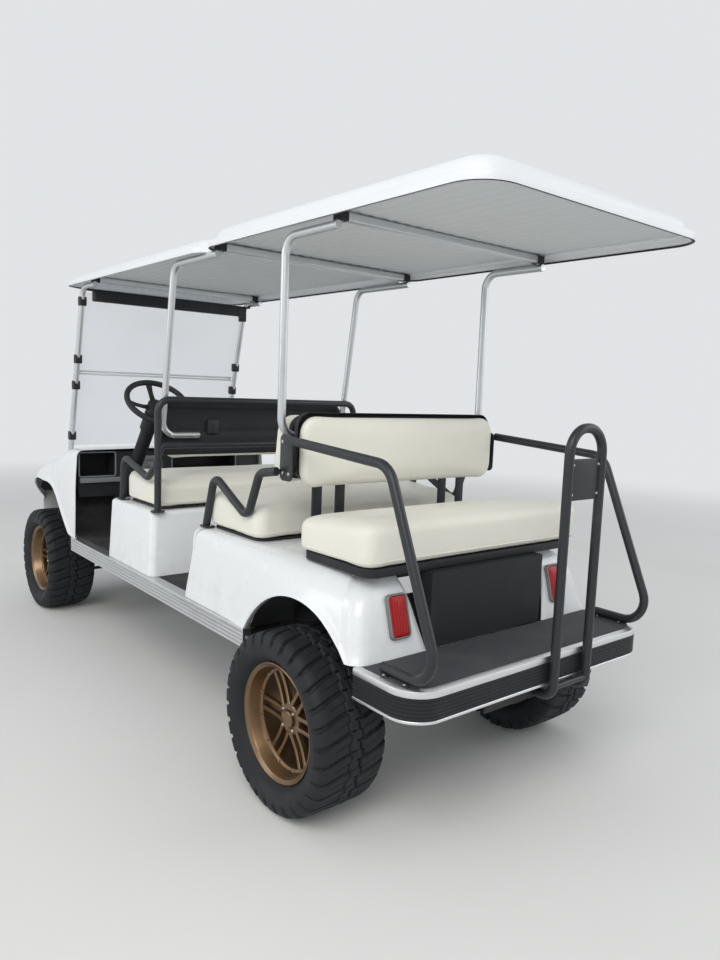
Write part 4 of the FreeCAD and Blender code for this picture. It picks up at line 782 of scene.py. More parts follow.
def roof_part(front, rear, lift, tuck, wall=0.005):
    """One roof moulding as a closed shell: plan outlines carried up the outside and back down the inside.

    Each level draws the rounded rectangle in; above the shelf the whole level is lower by lift. On the way down
    the same outlines are smaller by the wall. Between the two, the top rises in small steps to the middle."""
    rows = []
    for sign, grow in ((1, 0.0), (-1, wall)):
        for rise, draw in ROOF_LEVELS[::sign]:
            inset = draw + grow + tuck
            z = ROOF_LOW + rise - (lift if rise > 0.0275 else 0) - (grow if rise > 0 else 0) - tuck
            rows.append((z, ROOF_HALF - inset, front + inset, rear - inset, max(0.11 - 0.8 * draw, 0.02)))
        if sign > 0:
            top, middle = z, (front + rear) / 2
            for step, draw in ((0.0003, 0.165), (0.0012, 0.172), (0.0040, 0.186), (0.0050, 0.200)):
                rows.append((top + step, ROOF_HALF - draw - tuck, front + draw * 1.5, rear - draw, 0.05))
            for step in (0.0050, -wall):
                rows.append((top + step, 1e-6, middle - 1e-6, middle + 1e-6, 5e-7))
    return wall_between(rows)


def lining_sheet(front, rear, half, height):
    """Ribbed sheet under the roof: its height is a sine of the place across, and it sags a little to its middle."""
    u, v = np.meshgrid(np.linspace(-1, 1, 241), np.linspace(0, 1, 40), indexing="ij")
    end = np.clip(np.minimum(v, 1 - v) / 0.07, 0, 1)
    x = u * (half - 0.07 * (1 - np.sqrt(np.clip(1 - (1 - end) ** 2, 0, 1))))
    z = height + 0.0016 * np.sin(x * TURN / LINING_PITCH) - 0.004 * np.sin(v * math.pi) * (1 - u ** 2)
    return sheet_of(np.stack([x, front + (rear - front) * v, z], axis=-1))


def gasket(front, rear, inset, height):
    """Dark cord under a roof moulding's edge, along the same rounded rectangle drawn in by the inset."""
    shape = rounded(ROOF_HALF - inset, (rear - front) / 2 - inset, 0.11 - inset, 10)[0]
    path = np.stack([shape[:, 0], (front + rear) / 2 + shape[:, 1], np.full(len(shape), height)], axis=-1)
    return band_round(path, 0.0035)


# Routes of the tubes: the same points that the solids follow, in metres

POST_X, POST_Y, POST_FOOT, TOP_BAR, LOW_BAR = 0.525, fy(1.478), 0.7785, 1.258, 1.063
LOOP_Y, STRUT_X, STRUT_TOP = fy(1.4252), 0.483, 1.812
TUBE_R, STRUT_R = 0.015, 0.014
ROD_Y = ry(-0.2006)
LOOP_X, LOOP_END, GRAB_Y = -0.182, -0.016, ry(0.538) + 0.0153
CROSS_BARS = (fy(0.560), fy(1.880), ry(0.020))


def at_y(y, *places):
    """Points of (x, z) pairs at one place along the cart."""
    return [(x, y, z) for x, z in places]


def at_x(x, *places):
    """Points of (y, z) pairs at one place across the cart."""
    return [(x, y, z) for y, z in places]


def mirrored_all(parts):
    """All of the parts and their mirror images, as one shape."""
    return joined([copy for part in parts for copy in both(part)])


def screen_y(height):
    """Place of the windshield's frame tubes at a height."""
    return fy(0.226 + (height - 0.960) * 0.2512)


def frame_tubes():
    """Black frames behind the benches with their covers, straps and cross rod."""
    bar_x, bar_foot = POST_X - 0.02, LOW_BAR - 0.05
    parts = [tube(at_y(POST_Y, (POST_X, POST_FOOT), (POST_X, TOP_BAR), (-POST_X, TOP_BAR), (-POST_X, POST_FOOT)),
                  0.05, TUBE_R),
             tube(at_y(POST_Y, (POST_X, bar_foot), (bar_x, LOW_BAR), (-bar_x, LOW_BAR), (-POST_X, bar_foot)),
                  0.025, 0.013),
             tube(at_y(ROD_Y, (-0.494, 1.052), (0.494, 1.052)), 0.01, 0.012)]
    parts += [slab((x - 0.020, ROD_Y - 0.004, 0.7845), (x + 0.020, ROD_Y + 0.004, 1.066), "y", 0.012, 0.0015)
              for x in (0.354, 0.254, -0.254, -0.354)]
    parts += both(slab((0.4887, ry(-0.2217), 1.020), (0.4947, ry(-0.150), 1.176), "x", 0.02, 0.002))
    parts += both(lathe([(0, 0.03), (0.004, 0.03), (0.006, 0.028), (0.006, 0.014)], (POST_X, POST_Y, POST_FOOT), Z, 40))
    return joined(parts)


def arm_tubes():
    """Wavy arm rests on their foot plates, a pair at each forward bench, and the clamps of the front pair."""
    x = 0.52
    front = at_x(x, (fy(1.074), 0.782), (fy(1.092), 0.982), (fy(1.366), 0.912), (POST_Y - 0.024, 0.985))
    rear = at_x(x, (ry(-0.688), 0.790), (ry(-0.626), 0.992), (ry(-0.380), 0.868))
    rear += [(x - 0.006, ry(-0.316), 1.034), (0.510, ry(-0.215), 1.050)]
    parts = []
    for points in (front, rear):
        _, y, z = points[0]
        parts += [tube(points, 0.038, TUBE_R),
                  slab((x - 0.024, y - 0.024, z - 0.0037), (x + 0.018, y + 0.034, z + 0.0023), "z", 0.008, 0.0015)]
    clamp = ((-0.014, 0.0165), (-0.014, 0.019), (-0.012, 0.0205), (0.012, 0.0205), (0.014, 0.019), (0.014, 0.0165))
    return mirrored_all(parts + [lathe(clamp, (POST_X, POST_Y, 0.985), Z, 36)])


def rail_tubes():
    """Handrails from the rear backrest down to the footplate, with their clips."""
    x = 0.510
    points = at_x(x, (ry(-0.160), 1.160), (ry(0.348), 1.126), (ry(0.560), 0.630), (ry(0.512), 0.561),
                  (ry(0.356), 0.561))
    clips = [slab((x - 0.024, ry(y) - 0.012, 0.5462), (x + 0.024, ry(y) + 0.012, 0.5492), "z", 0.006, 0.001)
             for y in (0.385, 0.470)]
    return mirrored_all([tube(points, 0.076, TUBE_R, 22), *clips])


def grab_loop():
    """Upright hand loop behind the footplate with its plate and tie."""
    butt = ry(0.480) + 0.0083
    hoop = at_y(GRAB_Y, (LOOP_X, 0.412), (LOOP_X, 1.240), (LOOP_END, 1.240), (LOOP_END, 0.412))
    points = [(LOOP_X, butt, 0.412), *hoop, (LOOP_END, butt, 0.412)]
    return joined([tube(points, (0.04, 0.078, 0.078, 0.04), TUBE_R, 22),
                   slab((-0.184, GRAB_Y - 0.003, 1.022), (-0.014, GRAB_Y + 0.003, 1.148), "y", 0.012, 0.0015),
                   tube(at_y(GRAB_Y, (LOOP_X, 0.446), (LOOP_END, 0.446)), 0.01, 0.010)])


def strut_tubes():
    """Aluminium struts: the middle pair bends in behind the front backrest, the rear pair behind the rear one."""
    middle = [(0.308, LOOP_Y, 1.104), (STRUT_X, LOOP_Y, 1.104), (STRUT_X, LOOP_Y + 0.108, STRUT_TOP),
              (STRUT_X, fy(1.905), STRUT_TOP)]
    rear = [*at_y(ry(-0.236), (0.400, 1.166), (STRUT_X, 1.166), (STRUT_X, STRUT_TOP)), (STRUT_X, ry(0.048), STRUT_TOP)]
    return mirrored_all([tube(points, 0.06, STRUT_R, 24) for points in (middle, rear)])


def screen_tubes():
    """Windshield frame tubes."""
    return mirrored_all([tube(at_x(STRUT_X, (screen_y(0.860), 0.860), (screen_y(STRUT_TOP), STRUT_TOP),
                                   (fy(0.620), STRUT_TOP)), 0.06, STRUT_R, 24)])


def screen_clips():
    """Black clips that hold the pane to its tubes."""
    return mirrored_all([slab((0.464, screen_y(z) - 0.024, z - 0.024), (0.498, screen_y(z) + 0.016, z + 0.024),
                              "x", 0.008, 0.003) for z in (1.02, 1.30, 1.44, 1.74)])


def screen_joint():
    """Pale channel that joins the two panes, as two lips with a groove between them."""
    y = screen_y(1.370) - STRUT_R - 0.0015
    return joined([slab((-0.470, y - 0.0085, z), (0.470, y + 0.0005, z + 0.0105), "z", 0.003, 0.002)
                   for z in (1.3580, 1.3715)])


# Cushions

CLOTH_FRAMES = 20


def crowned(low, high, corner, crown, facing="z"):
    """Bench or pad before its simulation: outlines of a rounded rectangle stacked along the way it faces.

    The outline's inset follows one minus the sine near both faces, and the face rises to the middle by crown times
    (1 - u^4)(1 - v^2). A bench has a tighter lower edge than a pad."""
    middle, (u_half, v_half, w_half), axes = box_axes(low, high, facing)
    edge = min(0.03, w_half * 0.8)
    under = 0.014 if facing == "z" else edge
    turn = np.linspace(0, QUARTER, 7)
    levels = np.concatenate([under - w_half - under * np.cos(turn), (w_half - edge + edge * np.cos(turn))[::-1]])
    inset = np.concatenate([under * (1 - np.sin(turn)), (edge * (1 - np.sin(turn)))[::-1]])
    shape = rounded(u_half - inset, v_half - inset, np.maximum(corner - inset, 0.006), 8)
    rings = np.concatenate([shape, levels[:, None, None] + 0 * shape[..., :1]], axis=2)
    shares = np.linspace(0, 1, 14)[1:, None, None]
    top = rings[-1] * ((1, 1, 0) * (1 - shares) + (0, 0, 1))
    bottom = rings[0] * ((1, 1, 0) * shares + (0, 0, 1))
    u, v, w = np.moveaxis(np.concatenate([bottom[:-1], rings, top]), -1, 0)
    lift = crown * np.clip(1 - (u / u_half) ** 4, 0, 1) * np.clip(1 - (v / v_half) ** 2, 0, 1)
    w = w + np.where(w > 0, lift, 0) * np.clip(w / w_half, 0, 1)
    return sheet_of(middle + np.stack([u, v, w], axis=-1) @ axes, close_columns=True, caps=True)


def sloped(part, back, front, low, high, drop):
    """Lowers a bench's face towards its backrest by drop times the share of the way back and of the height."""
    points, faces = part
    share = np.clip((points[:, 1:] - (front, low)) / (back - front, high - low), 0, 1).prod(axis=1)
    return points - share[:, None] * (0, 0, drop), faces


def soften(item, cap, voxel):
    """Runs a pressure cloth on the cushion for twenty frames, limits each point's travel and keeps the result."""
    finish_with(item, "REMESH", mode="VOXEL", voxel_size=voxel)
    start = read(item.data.vertices, "co")
    cloth = item.modifiers.new("Cloth", "CLOTH")
    cloth.settings.use_pressure = True
    cloth.settings.uniform_pressure_force = 4.0
    cloth.settings.effector_weights.gravity = 0.0
    cloth.settings.mass = 0.3
    cloth.settings.tension_stiffness = cloth.settings.compression_stiffness = 18
    cloth.settings.bending_stiffness = 2.0
    cloth.point_cache.frame_start, cloth.point_cache.frame_end = 1, CLOTH_FRAMES
    scene = bpy.context.scene
    for frame_number in range(1, CLOTH_FRAMES + 1):
        scene.frame_set(frame_number)
    bpy.context.view_layer.objects.active = item
    bpy.ops.object.modifier_apply(modifier=cloth.name)
    scene.frame_set(1)
    travel = read(item.data.vertices, "co") - start
    travel *= np.minimum(1, cap / np.maximum(np.linalg.norm(travel, axis=1)[:, None], 1e-9))
    item.data.vertices.foreach_set("co", (start + travel).ravel())
    item.data.shade_smooth()
    finish_with(item, "SMOOTH", factor=0.5, iterations=3)


def press_flat(item, place, away, limit):
    """Stops the side against the shell at a plane: points further back than the limit move up to it."""
    points = read(item.data.vertices, "co")
    points += np.clip(limit - (points - place) @ away, 0, None)[:, None] * away
    item.data.vertices.foreach_set("co", points.ravel())


def welt_round(item, low, high, corner):
    """Cord on a bench's side: a rounded outline below its middle, dropped on to the finished surface and evened."""
    middle, size, _ = box_axes(low, high, "z")
    shape = rounded(size[0], size[1], corner, 12)[0]
    shape = np.concatenate([shape, shape[:1]])
    length = np.concatenate([[0], np.cumsum(np.linalg.norm(np.diff(shape, axis=0), axis=1))])
    at = np.linspace(0, length[-1], 220, endpoint=False)
    base = middle + np.stack([*(np.interp(at, length, row) for row in shape.T), np.full(220, -0.050)], axis=-1)
    tree = BVHTree.FromPolygons([vertex.co[:] for vertex in item.data.vertices],
                                [face.vertices[:] for face in item.data.polygons])
    found = [tree.find_nearest(Vector(spot), 0.08)[0] for spot in base]
    spots = np.array([hit[:] if hit else spot for hit, spot in zip(found, base)])
    return band_round((np.roll(spots, 1, axis=0) + spots * 2 + np.roll(spots, -1, axis=0)) / 4, 0.0024)


# Trim and fittings

def bolt(place, axis, radius=0.0055, height=0.004):
    """Small six-sided head with an eased top."""
    return lathe([(0, radius * 1.25), (height * 0.25, radius * 1.25), (height * 0.25, radius), (height * 0.8, radius),
                  (height, radius * 0.75)], place, axis, 6)


def small_bolts():
    """Bolt heads on the straps, cover plates, struts, foot plates, clips, sills, cross bars and hand loop's plate."""
    forwards, down, strut = (0, -1, 0), (0, 0, -1), STRUT_R - 0.0005
    rows = (((0.254, 0.354), (ROD_Y + 0.0041,), (0.850, 1.030), Y, 0.0055, 0.004),
            ((0.254, 0.354), (ROD_Y - 0.0040,), (0.850, 1.030), forwards, 0.0055, 0.004),
            ((0.4947,), (ry(-0.205), ry(-0.168)), (1.045, 1.150), X, 0.0055, 0.004),
            ((0.335, 0.440), (LOOP_Y + strut,), (1.104,), Y, 0.006, 0.005),
            ((0.335, 0.440), (LOOP_Y - strut,), (1.104,), forwards, 0.006, 0.005),
            ((0.513,), (fy(1.058), fy(1.102)), (0.7843,), Z, 0.005, 0.004),
            ((0.513,), (ry(-0.704), ry(-0.664)), (0.7923,), Z, 0.005, 0.004),
            ((0.490, 0.530), (ry(0.385), ry(0.470)), (0.5492,), Z, 0.004, 0.003),
            ((0.5975,), fy(0.66) + 0.26 * np.arange(7), (0.505,), X, 0.004, 0.0025),
            ((0.466,), [y + 0.015 for y in CROSS_BARS], (1.8252,), down, 0.006, 0.004))
    parts = [bolt((x, y, z), *how) for xs, ys, zs, *how in rows for x in xs for y in ys for z in zs]
    plate = [bolt((x, GRAB_Y + 0.0030, z), Y, 0.004, 0.003) for x in (-0.163, -0.035) for z in (1.040, 1.130)]
    return joined([mirrored_all(parts), *plate])


def plate_path(inset):
    """The footplate's edge in plan: side, quarter-circle corner, rear, corner, side."""
    radius, half, rear = 0.100 - inset, 0.558 - inset, ry(0.538) - inset
    turn = np.linspace(0, QUARTER, 14)[1:]
    side = np.linspace(ry(0.2825), rear - radius, 14)
    x = np.concatenate([np.full(14, half), half - radius + radius * np.cos(turn)])
    y = np.concatenate([side, rear - radius + radius * np.sin(turn)])
    left = np.stack([x, y], axis=-1)
    return np.concatenate([left, left[::-1] * (-1, 1)])


def plate_band(rows):
    """A closed profile of (inset, height) rows carried along the footplate's edge."""
    paths = [np.pad(plate_path(inset), ((0, 0), (0, 1)), constant_values=z) for inset, z in rows]
    return sheet_of(np.stack(paths, axis=1), close_columns=True, caps=True)


def rib_rows(low, high, count, groove_at=0.0032, back=0.0077, rib_at=0.0006):
    """Profile of a ribbed band: a rib stands out over the middle of each pitch."""
    rows, pitch = [(back, low), (groove_at, low)], (high - low) / count
    for z in low + pitch * np.arange(count):
        rows += [(inset, z + share * pitch) for inset, share in ((groove_at, 0.12), (rib_at, 0.3), (rib_at, 0.72),
                                                                 (groove_at, 0.9))]
    return rows + [(groove_at, high), (back, high)]


PLATE_EDGE = ((0.0077, 0.5227), (0.0008, 0.5227), (0.0, 0.5245), (0.0, 0.5385), (0.0012, 0.5418), (0.0035, 0.5432),
              (0.0240, 0.5434), (0.0252, 0.5426), (0.0252, 0.5412), (0.0077, 0.5408))
PLATE_FOOT = ((0.0077, 0.4502), (0.0012, 0.4502), (0.0002, 0.4512), (0.0002, 0.4572), (0.0012, 0.4583),
              (0.0077, 0.4583))
TAIL_LEAN, TAIL_LAMP_Z = math.atan2(TAIL - TAIL_TOP, TAIL_RISE), 0.660
LAMP_OUT = np.array((0, math.cos(TAIL_LEAN), math.sin(TAIL_LEAN)))
LAMP_UP = np.array((0, -math.sin(TAIL_LEAN), math.cos(TAIL_LEAN)))
TAIL_LAMP = np.array((0.381, ry(TAIL - (TAIL_LAMP_Z - TAIL_LOW) * math.tan(TAIL_LEAN)), TAIL_LAMP_Z))
BEZEL = ((0.040, 0.068, 0.0005, 0.016), (0.040, 0.068, 0.0085, 0.016), (0.0385, 0.0665, 0.0125, 0.015),
         (0.0365, 0.0645, 0.0140, 0.013), (0.0345, 0.0625, 0.0135, 0.011), (0.0335, 0.0615, 0.0105, 0.010),
         (0.0330, 0.0610, 0.0040, 0.009))
RED_LENS = ((0.0331, 0.0611, 0.004, 0.009), (0.0331, 0.0611, 0.0100, 0.009), (0.0315, 0.0595, 0.0122, 0.0085),
            (0.0260, 0.0540, 0.0140, 0.0080), (0.0140, 0.0420, 0.0152, 0.0060), (0.0020, 0.0300, 0.0156, 0.0015))
SURROUND = ((0.070, 0.036, 0.320, 0.022), (0.070, 0.036, 0.364, 0.022), (0.067, 0.033, 0.3675, 0.020),
            (0.061, 0.027, 0.368, 0.016), (0.058, 0.024, 0.364, 0.014), (0.056, 0.022, 0.350, 0.012))
HEAD_LENS = ((0.0565, 0.0225, 0.350, 0.012), (0.0565, 0.0225, 0.3605, 0.012), (0.050, 0.018, 0.3655, 0.010),
             (0.034, 0.009, 0.3675, 0.006), (0.020, 0.002, 0.368, 0.0015))
PAN_ROWS = ((0.0, -0.026), (0.0006, -0.020), (0.002, -0.006), (0.005, -0.0015), (0.010, 0.0), (0.024, 0.0),
            (0.028, -0.0012), (0.034, -0.0052), (0.039, -0.0065), (0.070, -0.0068))


def tail_lamp(rows):
    """A part of the tail lamps, set on the leaning tail corner."""
    return stacked(rows, TAIL_LAMP, LAMP_UP, LAMP_OUT, 6)


def front_lamps(rows):
    """A part of the front lamps, set on the nose and facing forwards."""
    return mirrored_all([stacked(rows, (0.33, fy(0), 0.648), Z, (0, -1, 0), 8)])


def lamp_bezels():
    """Frames of the tail lamps, each with a screw above and below its lens."""
    screws = [bolt(TAIL_LAMP + 0.0135 * LAMP_OUT + reach * LAMP_UP, LAMP_OUT, 0.0016, 0.0014)
              for reach in (-0.0645, 0.0645)]
    return mirrored_all([tail_lamp(BEZEL), *screws])


def lamp_bar():
    """Housing under the roof's front edge, with its mounting strip and the fins on its back."""
    parts = [slab((-0.450, fy(0.474), 1.738), (0.450, fy(0.520), 1.7975), "x", 0.010, 0.004),
             slab((-0.483, fy(0.484), 1.7892), (0.483, fy(0.508), 1.7976), "x", 0.003, 0.001)]
    for x in -0.437 + 0.038 * np.arange(24):
        parts.append(slab((x - 0.0025, fy(0.5195), 1.744), (x + 0.0025, fy(0.5206), 1.792), "y", 0.002, 0.0004))
    return joined(parts)


def pan(half_u, low, high, rows, y, facing=1, lean=0.0, corner=0.050):
    """Moulded back of a seat: concentric rounded rectangles of (inset, depth) round a middle line."""
    inset, depth = np.array(rows, float).T
    half_v, cos, sin = (high - low) / 2, math.cos(lean), math.sin(lean)
    shape = rounded(half_u - inset, half_v - inset, np.maximum(corner - inset, 0.012), 8)
    out, up = (depth * facing)[:, None], shape[..., 1]
    points = np.stack([shape[..., 0], y + out * cos + up * sin, (high + low) / 2 + up * cos - out * sin], axis=-1)
    last = points[-1]
    line = last * 0 + (0, *last[:, 1:].mean(axis=0))
    line[:, 0] = np.clip(last[:, 0], half_v - half_u, half_u - half_v)
    return sheet_of(np.concatenate([points, line[None]]), close_columns=True)


def ring_wheel():
    """Steering wheel in its own frame, tilted into place: a padded ring, a hub, three dished spokes and a shaft."""
    cos, sin = circle(24)
    grip = np.stack([0.014 * sin, 0.151 + 0.014 * cos], axis=-1)
    hub = ((-0.062, 0.043), (-0.050, 0.044), (-0.020, 0.044), (-0.016, 0.042), (-0.0145, 0.036), (-0.0135, 0.034),
           (-0.0115, 0.030), (-0.0105, 0.012))
    parts = [lathe(grip[::-1], (0, 0, 0), Z, 120, closed=True), lathe(hub, (0, 0, 0), Z, 64)]
    levels = np.linspace(0, 1, 16)
    half = 0.017 - 0.005 * np.sin(levels * math.pi)
    across = np.stack([-half, half, half, -half], axis=-1)
    along = (0.030 + 0.118 * levels)[:, None]
    up = (0.034 * levels ** 1.6 - 0.034)[:, None] + (0.003, 0.003, -0.003, -0.003)
    for angle in (math.pi, 1.5 * math.pi, TURN):
        cos, sin = math.cos(angle), math.sin(angle)
        points = np.stack([along * cos - across * sin, along * sin + across * cos, up], axis=-1)
        parts.append(sheet_of(points, close_columns=True, caps=True))
    points, faces = joined([*parts, lathe([(-0.110, 0.0088), (-0.060, 0.0088)], (0, 0, 0), Z, 24)])
    turned = np.array(Matrix.Rotation(math.radians(-39.0), 3, "X"))
    return points @ turned.T + (0.285, fy(0.930), 1.232), faces


def dash_details():
    """Lips round the dash's bins, a switch plate, its three buttons and its knob."""
    parts = []
    for x0, x1, z0, z1 in ((0.345, 0.536, 0.822, 0.948), (-0.390, 0.015, 0.846, 0.930)):
        u, v = rounded((x1 - x0) / 2 + 0.002, (z1 - z0) / 2 + 0.002, 0.012)[0].T
        path = np.stack([(x0 + x1) / 2 + u, fy(0.5205) + 0 * u, (z0 + z1) / 2 + v], axis=-1)
        parts.append(band_round(path, 0.004))
    face = fy(0.5225)
    parts.append(slab((0.10, fy(0.520), 0.850), (0.20, face, 0.925), "y", 0.010, 0.001))
    button = ((0, 0.008), (0.006, 0.008), (0.009, 0.006))
    knob = ((0, 0.016), (0.004, 0.016), (0.006, 0.011), (0.012, 0.011), (0.014, 0.009))
    parts += [lathe(button, (x, face, 0.905), Y, 24) for x in (0.125, 0.150, 0.175)]
    return joined([*parts, lathe(knob, (0.150, face, 0.872), Y, 32)])


def pedal_ribs():
    """Ribbed rubber faces on the pedals."""
    return joined([slab((x - reach, fy(0.4795), z - 0.004), (x + reach, fy(0.4835), z + 0.004), "y", 0.002, 0.001)
                   for x, reach in ((0.170, 0.024), (0.270, 0.039)) for z in 0.582 + 0.013 * np.arange(5)])


# The add-on: one operator for each group of pieces and one for the stage

def colour(name, text, value):
    return FloatVectorProperty(name=name, description=text, default=value, subtype="COLOR", size=3, min=0.0, max=1.0)


class CartSizes(bpy.types.PropertyGroup):
    """Sizes a user would change."""
    tread_blocks: IntProperty(name="Tread blocks", description="Blocks round one tyre", default=30, min=12, max=60)
    cushion_crown: FloatProperty(name="Cushion crown", description="How far a bench rises in its middle", default=0.014,
                                 min=0.0, max=0.03, unit="LENGTH")
    body_wall: FloatProperty(name="Body wall", description="Thickness of the moulded body", default=0.004, min=0.002,
                             max=0.006, unit="LENGTH")


class CartColours(bpy.types.PropertyGroup):
    """Colours a user would change."""
    body: colour("Body", "Gloss paint of the body mouldings", (0.80, 0.82, 0.83))
    roof: colour("Roof", "Satin white of the roof", (0.80, 0.82, 0.84))
    vinyl: colour("Vinyl", "Cushions and backrests", (0.86, 0.845, 0.75))
    tube: colour("Tubes", "Powder coat on the frames", (0.022, 0.025, 0.029))
    wheel: colour("Wheels", "Bronze paint on the wheels", (0.2, 0.125, 0.066))
    floor: colour("Floor", "Pale studio floor", (0.84, 0.84, 0.82))


class CartOperator:
    """What the cart's operators share: each has a build method that makes its pieces from the cart's sizes."""
    bl_options = {"REGISTER"}

    def execute(self, context):
        self.build(context.scene.cart_sizes)
        return {"FINISHED"}


class BuildMaterials(CartOperator, bpy.types.Operator):
    """Make the materials and paint the solids that stay visible"""
    bl_idname = "cart.materials"
    bl_label = "Materials"

    def build(self, sizes):
        make_paints(bpy.context.scene.cart_colours)
        paint_solids()


class BuildWheels(CartOperator, bpy.types.Operator):
    """Make the tyres with their tread and the bronze wheels"""
    bl_idname = "cart.wheels"
    bl_label = "Tyres and wheels"

    def build(self, sizes):
        for name, *where in WHEELS:
            body = "wheel_" + name
            tread = tyre_part(*where, sizes.tread_blocks)
            piece("tread_" + name, tread, "tyre_rubber", ("tyre_" + name,), body, sharp=40)
            for start, maker, finish_name, nodes in (("wheel_bronze_", wheel_part, "bronze_wheel", ("rim_" + name,)),
                                                     ("wheel_nuts_", wheel_small, "zinc_bolt", ())):
                outwards(piece(start + name, maker(*where), finish_name, nodes, body))


class BuildBody(CartOperator, bpy.types.Operator):
    """Make the rear body, the seat pod and the front body with its nose"""
    bl_idname = "cart.body"
    bl_label = "Body mouldings"

    def build(self, sizes):
        cowl = cowl_shell()
        for name, part, node in (("rear_moulding", sheet_of(rear_shell()), "rear_body"),
                                 ("pod_moulding", sheet_of(pod_shell(), close_columns=True), "seat_pod"),
                                 ("front_moulding", joined([sheet_of(cowl), sheet_of(fascia(cowl))]), "front_cowl")):
            item = outwards(piece(name, part, "gloss_body", (node,), sharp=50))
            point_outwards(item)
            finish_with(item, "SOLIDIFY", thickness=sizes.body_wall, offset=-1.0)


class BuildRoof(CartOperator, bpy.types.Operator):
    """Make the two roof mouldings, their dark edge cord and lining, and the cross bars"""
    bl_idname = "cart.roof"
    bl_label = "Roof"

    def build(self, sizes):
        mouldings = [sheet_of(part, close_columns=True) for part in (
            roof_part(fy(0.222), fy(1.868), 0.014, 0.0053), roof_part(fy(1.828), ry(0.655), 0.0, 0.0))]
        outwards(piece("roof_mouldings", joined(mouldings), "satin_roof", ("roof",), sharp=40))
        bars = [slab((-0.478, y, 1.8263), (0.478, y + 0.030, 1.8523), "x", 0.004, 0.001) for y in CROSS_BARS]
        piece("cross_bars", joined(bars), "brushed_aluminium", ("roof_cross_bars",))
        ends = [slab((0.448, y - 0.004, 1.8250), (0.484, y + 0.034, 1.8530), "z", 0.005, 0.002) for y in CROSS_BARS]
        piece("cross_bar_brackets", mirrored_all(ends), "grained_plastic")
        cords = [gasket(fy(0.222), fy(1.868), 0.0115, 1.8285), gasket(fy(1.828), ry(0.655), 0.006, 1.8325)]
        outwards(piece("roof_gasket", joined(cords), "grained_plastic"))
        lining = [lining_sheet(fy(0.262), fy(1.834), 0.478, 1.8585), lining_sheet(fy(1.840), ry(0.615), 0.484, 1.8600)]
        item = piece("roof_lining", joined(lining), "roof_lining")
        finish_with(item, "SOLIDIFY", thickness=0.002, offset=0.0)


class BuildTubes(CartOperator, bpy.types.Operator):
    """Make every tube of the frames, arm rests, handrails, struts and windshield"""
    bl_idname = "cart.tubes"
    bl_label = "Tubes"

    def build(self, sizes):
        closed_pieces("powder_coat", "tube_black", ("bench_frames", frame_tubes(), "seat_frames"),
                      ("arm_rest_tubes", arm_tubes(), "arm_rests"), ("handrail_tubes", rail_tubes(), "handrails"),
                      ("grab_loop", grab_loop(), "grab_bar"))
        closed_pieces("brushed_aluminium", "strut_silver", ("strut_tubes", strut_tubes(), "struts"),
                      ("windshield_tubes", screen_tubes(), "windshield_frame"))
        closed_pieces("grained_plastic", "trim_black", ("windshield_clips", screen_clips()))
        closed_pieces("pane_channel", "strut_silver", ("windshield_joint", screen_joint()))


class BuildFootplate(CartOperator, bpy.types.Operator):
    """Make the footplate's ribbed band with its bright edges"""
    bl_idname = "cart.footplate"
    bl_label = "Footplate"

    def build(self, sizes):
        band, edges = plate_band(rib_rows(0.4585, 0.5225, 6)), joined([plate_band(PLATE_EDGE), plate_band(PLATE_FOOT)])
        closed_pieces("grained_plastic", "trim_black", ("footplate_ribs", band, "footplate_band"))
        closed_pieces("bright_edge", "strut_silver", ("footplate_edges", edges))


class BuildLamps(CartOperator, bpy.types.Operator):
    """Make the tail lamps, the front lamps and the lamp bar"""
    bl_idname = "cart.lamps"
    bl_label = "Lamps"

    def build(self, sizes):
        windows = joined([slab((x, fy(0.4702), 1.745), (x + 0.066, fy(0.476), 1.790), "y", 0.012, 0.003)
                          for x in -0.437 + 0.073 * np.arange(12)])
        closed_pieces("grey_moulding", "trim_black", ("tail_lamp_bezels", lamp_bezels(), "tail_lamps"))
        closed_pieces("red_lens", "lamp_red", ("tail_lamp_lenses", mirrored_all([tail_lamp(RED_LENS)])))
        closed_pieces("grained_plastic", "trim_black", ("front_lamp_surrounds", front_lamps(SURROUND), "headlamps"),
                      ("lamp_bar_housing", lamp_bar(), "light_bar"))
        closed_pieces("clear_lens", "lamp_clear", ("front_lamp_lenses", front_lamps(HEAD_LENS)),
                      ("lamp_bar_lenses", windows))


class BuildSeatBacks(CartOperator, bpy.types.Operator):
    """Make the moulded pans behind the backrests, the front one's latches and the dark bases under the benches"""
    bl_idname = "cart.seat_backs"
    bl_label = "Seat backs and bases"

    def build(self, sizes):
        low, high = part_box("middle_backrest")
        shallow = [(inset, depth * 0.5) for inset, depth in PAN_ROWS]
        pans = [pan(0.500, 1.014, 1.252, PAN_ROWS, fy(1.4100)), pan(0.466, 1.020, 1.2475, PAN_ROWS, ry(-0.1885), -1),
                pan(0.436, 1.012, 1.234, shallow, (low.y + high.y) / 2 + 0.036, lean=MIDDLE_LEAN)]
        item = piece("seat_back_pans", joined(pans), "grained_plastic", ("backrest_shells",), sharp=60)
        finish_with(item, "SOLIDIFY", thickness=0.003, offset=0.0)
        latches = mirrored_all([slab((0.204, -0.0245, 1.108), (0.262, -0.0145, 1.172), "y", 0.008, 0.003),
                                slab((0.216, -0.0165, 1.118), (0.250, -0.0135, 1.162), "y", 0.005, 0.0012)])
        bases = joined([slab((-0.494, y0 + 0.010, base), (0.494, y1 - 0.010, top), "z", 0.045, 0.003)
                        for _, y0, y1, _, base, top in BENCHES])
        closed_pieces("powder_coat", "trim_black", ("shell_latches", latches))
        closed_pieces("grained_plastic", "trim_black", ("bench_bases", bases, "seat_trays"))


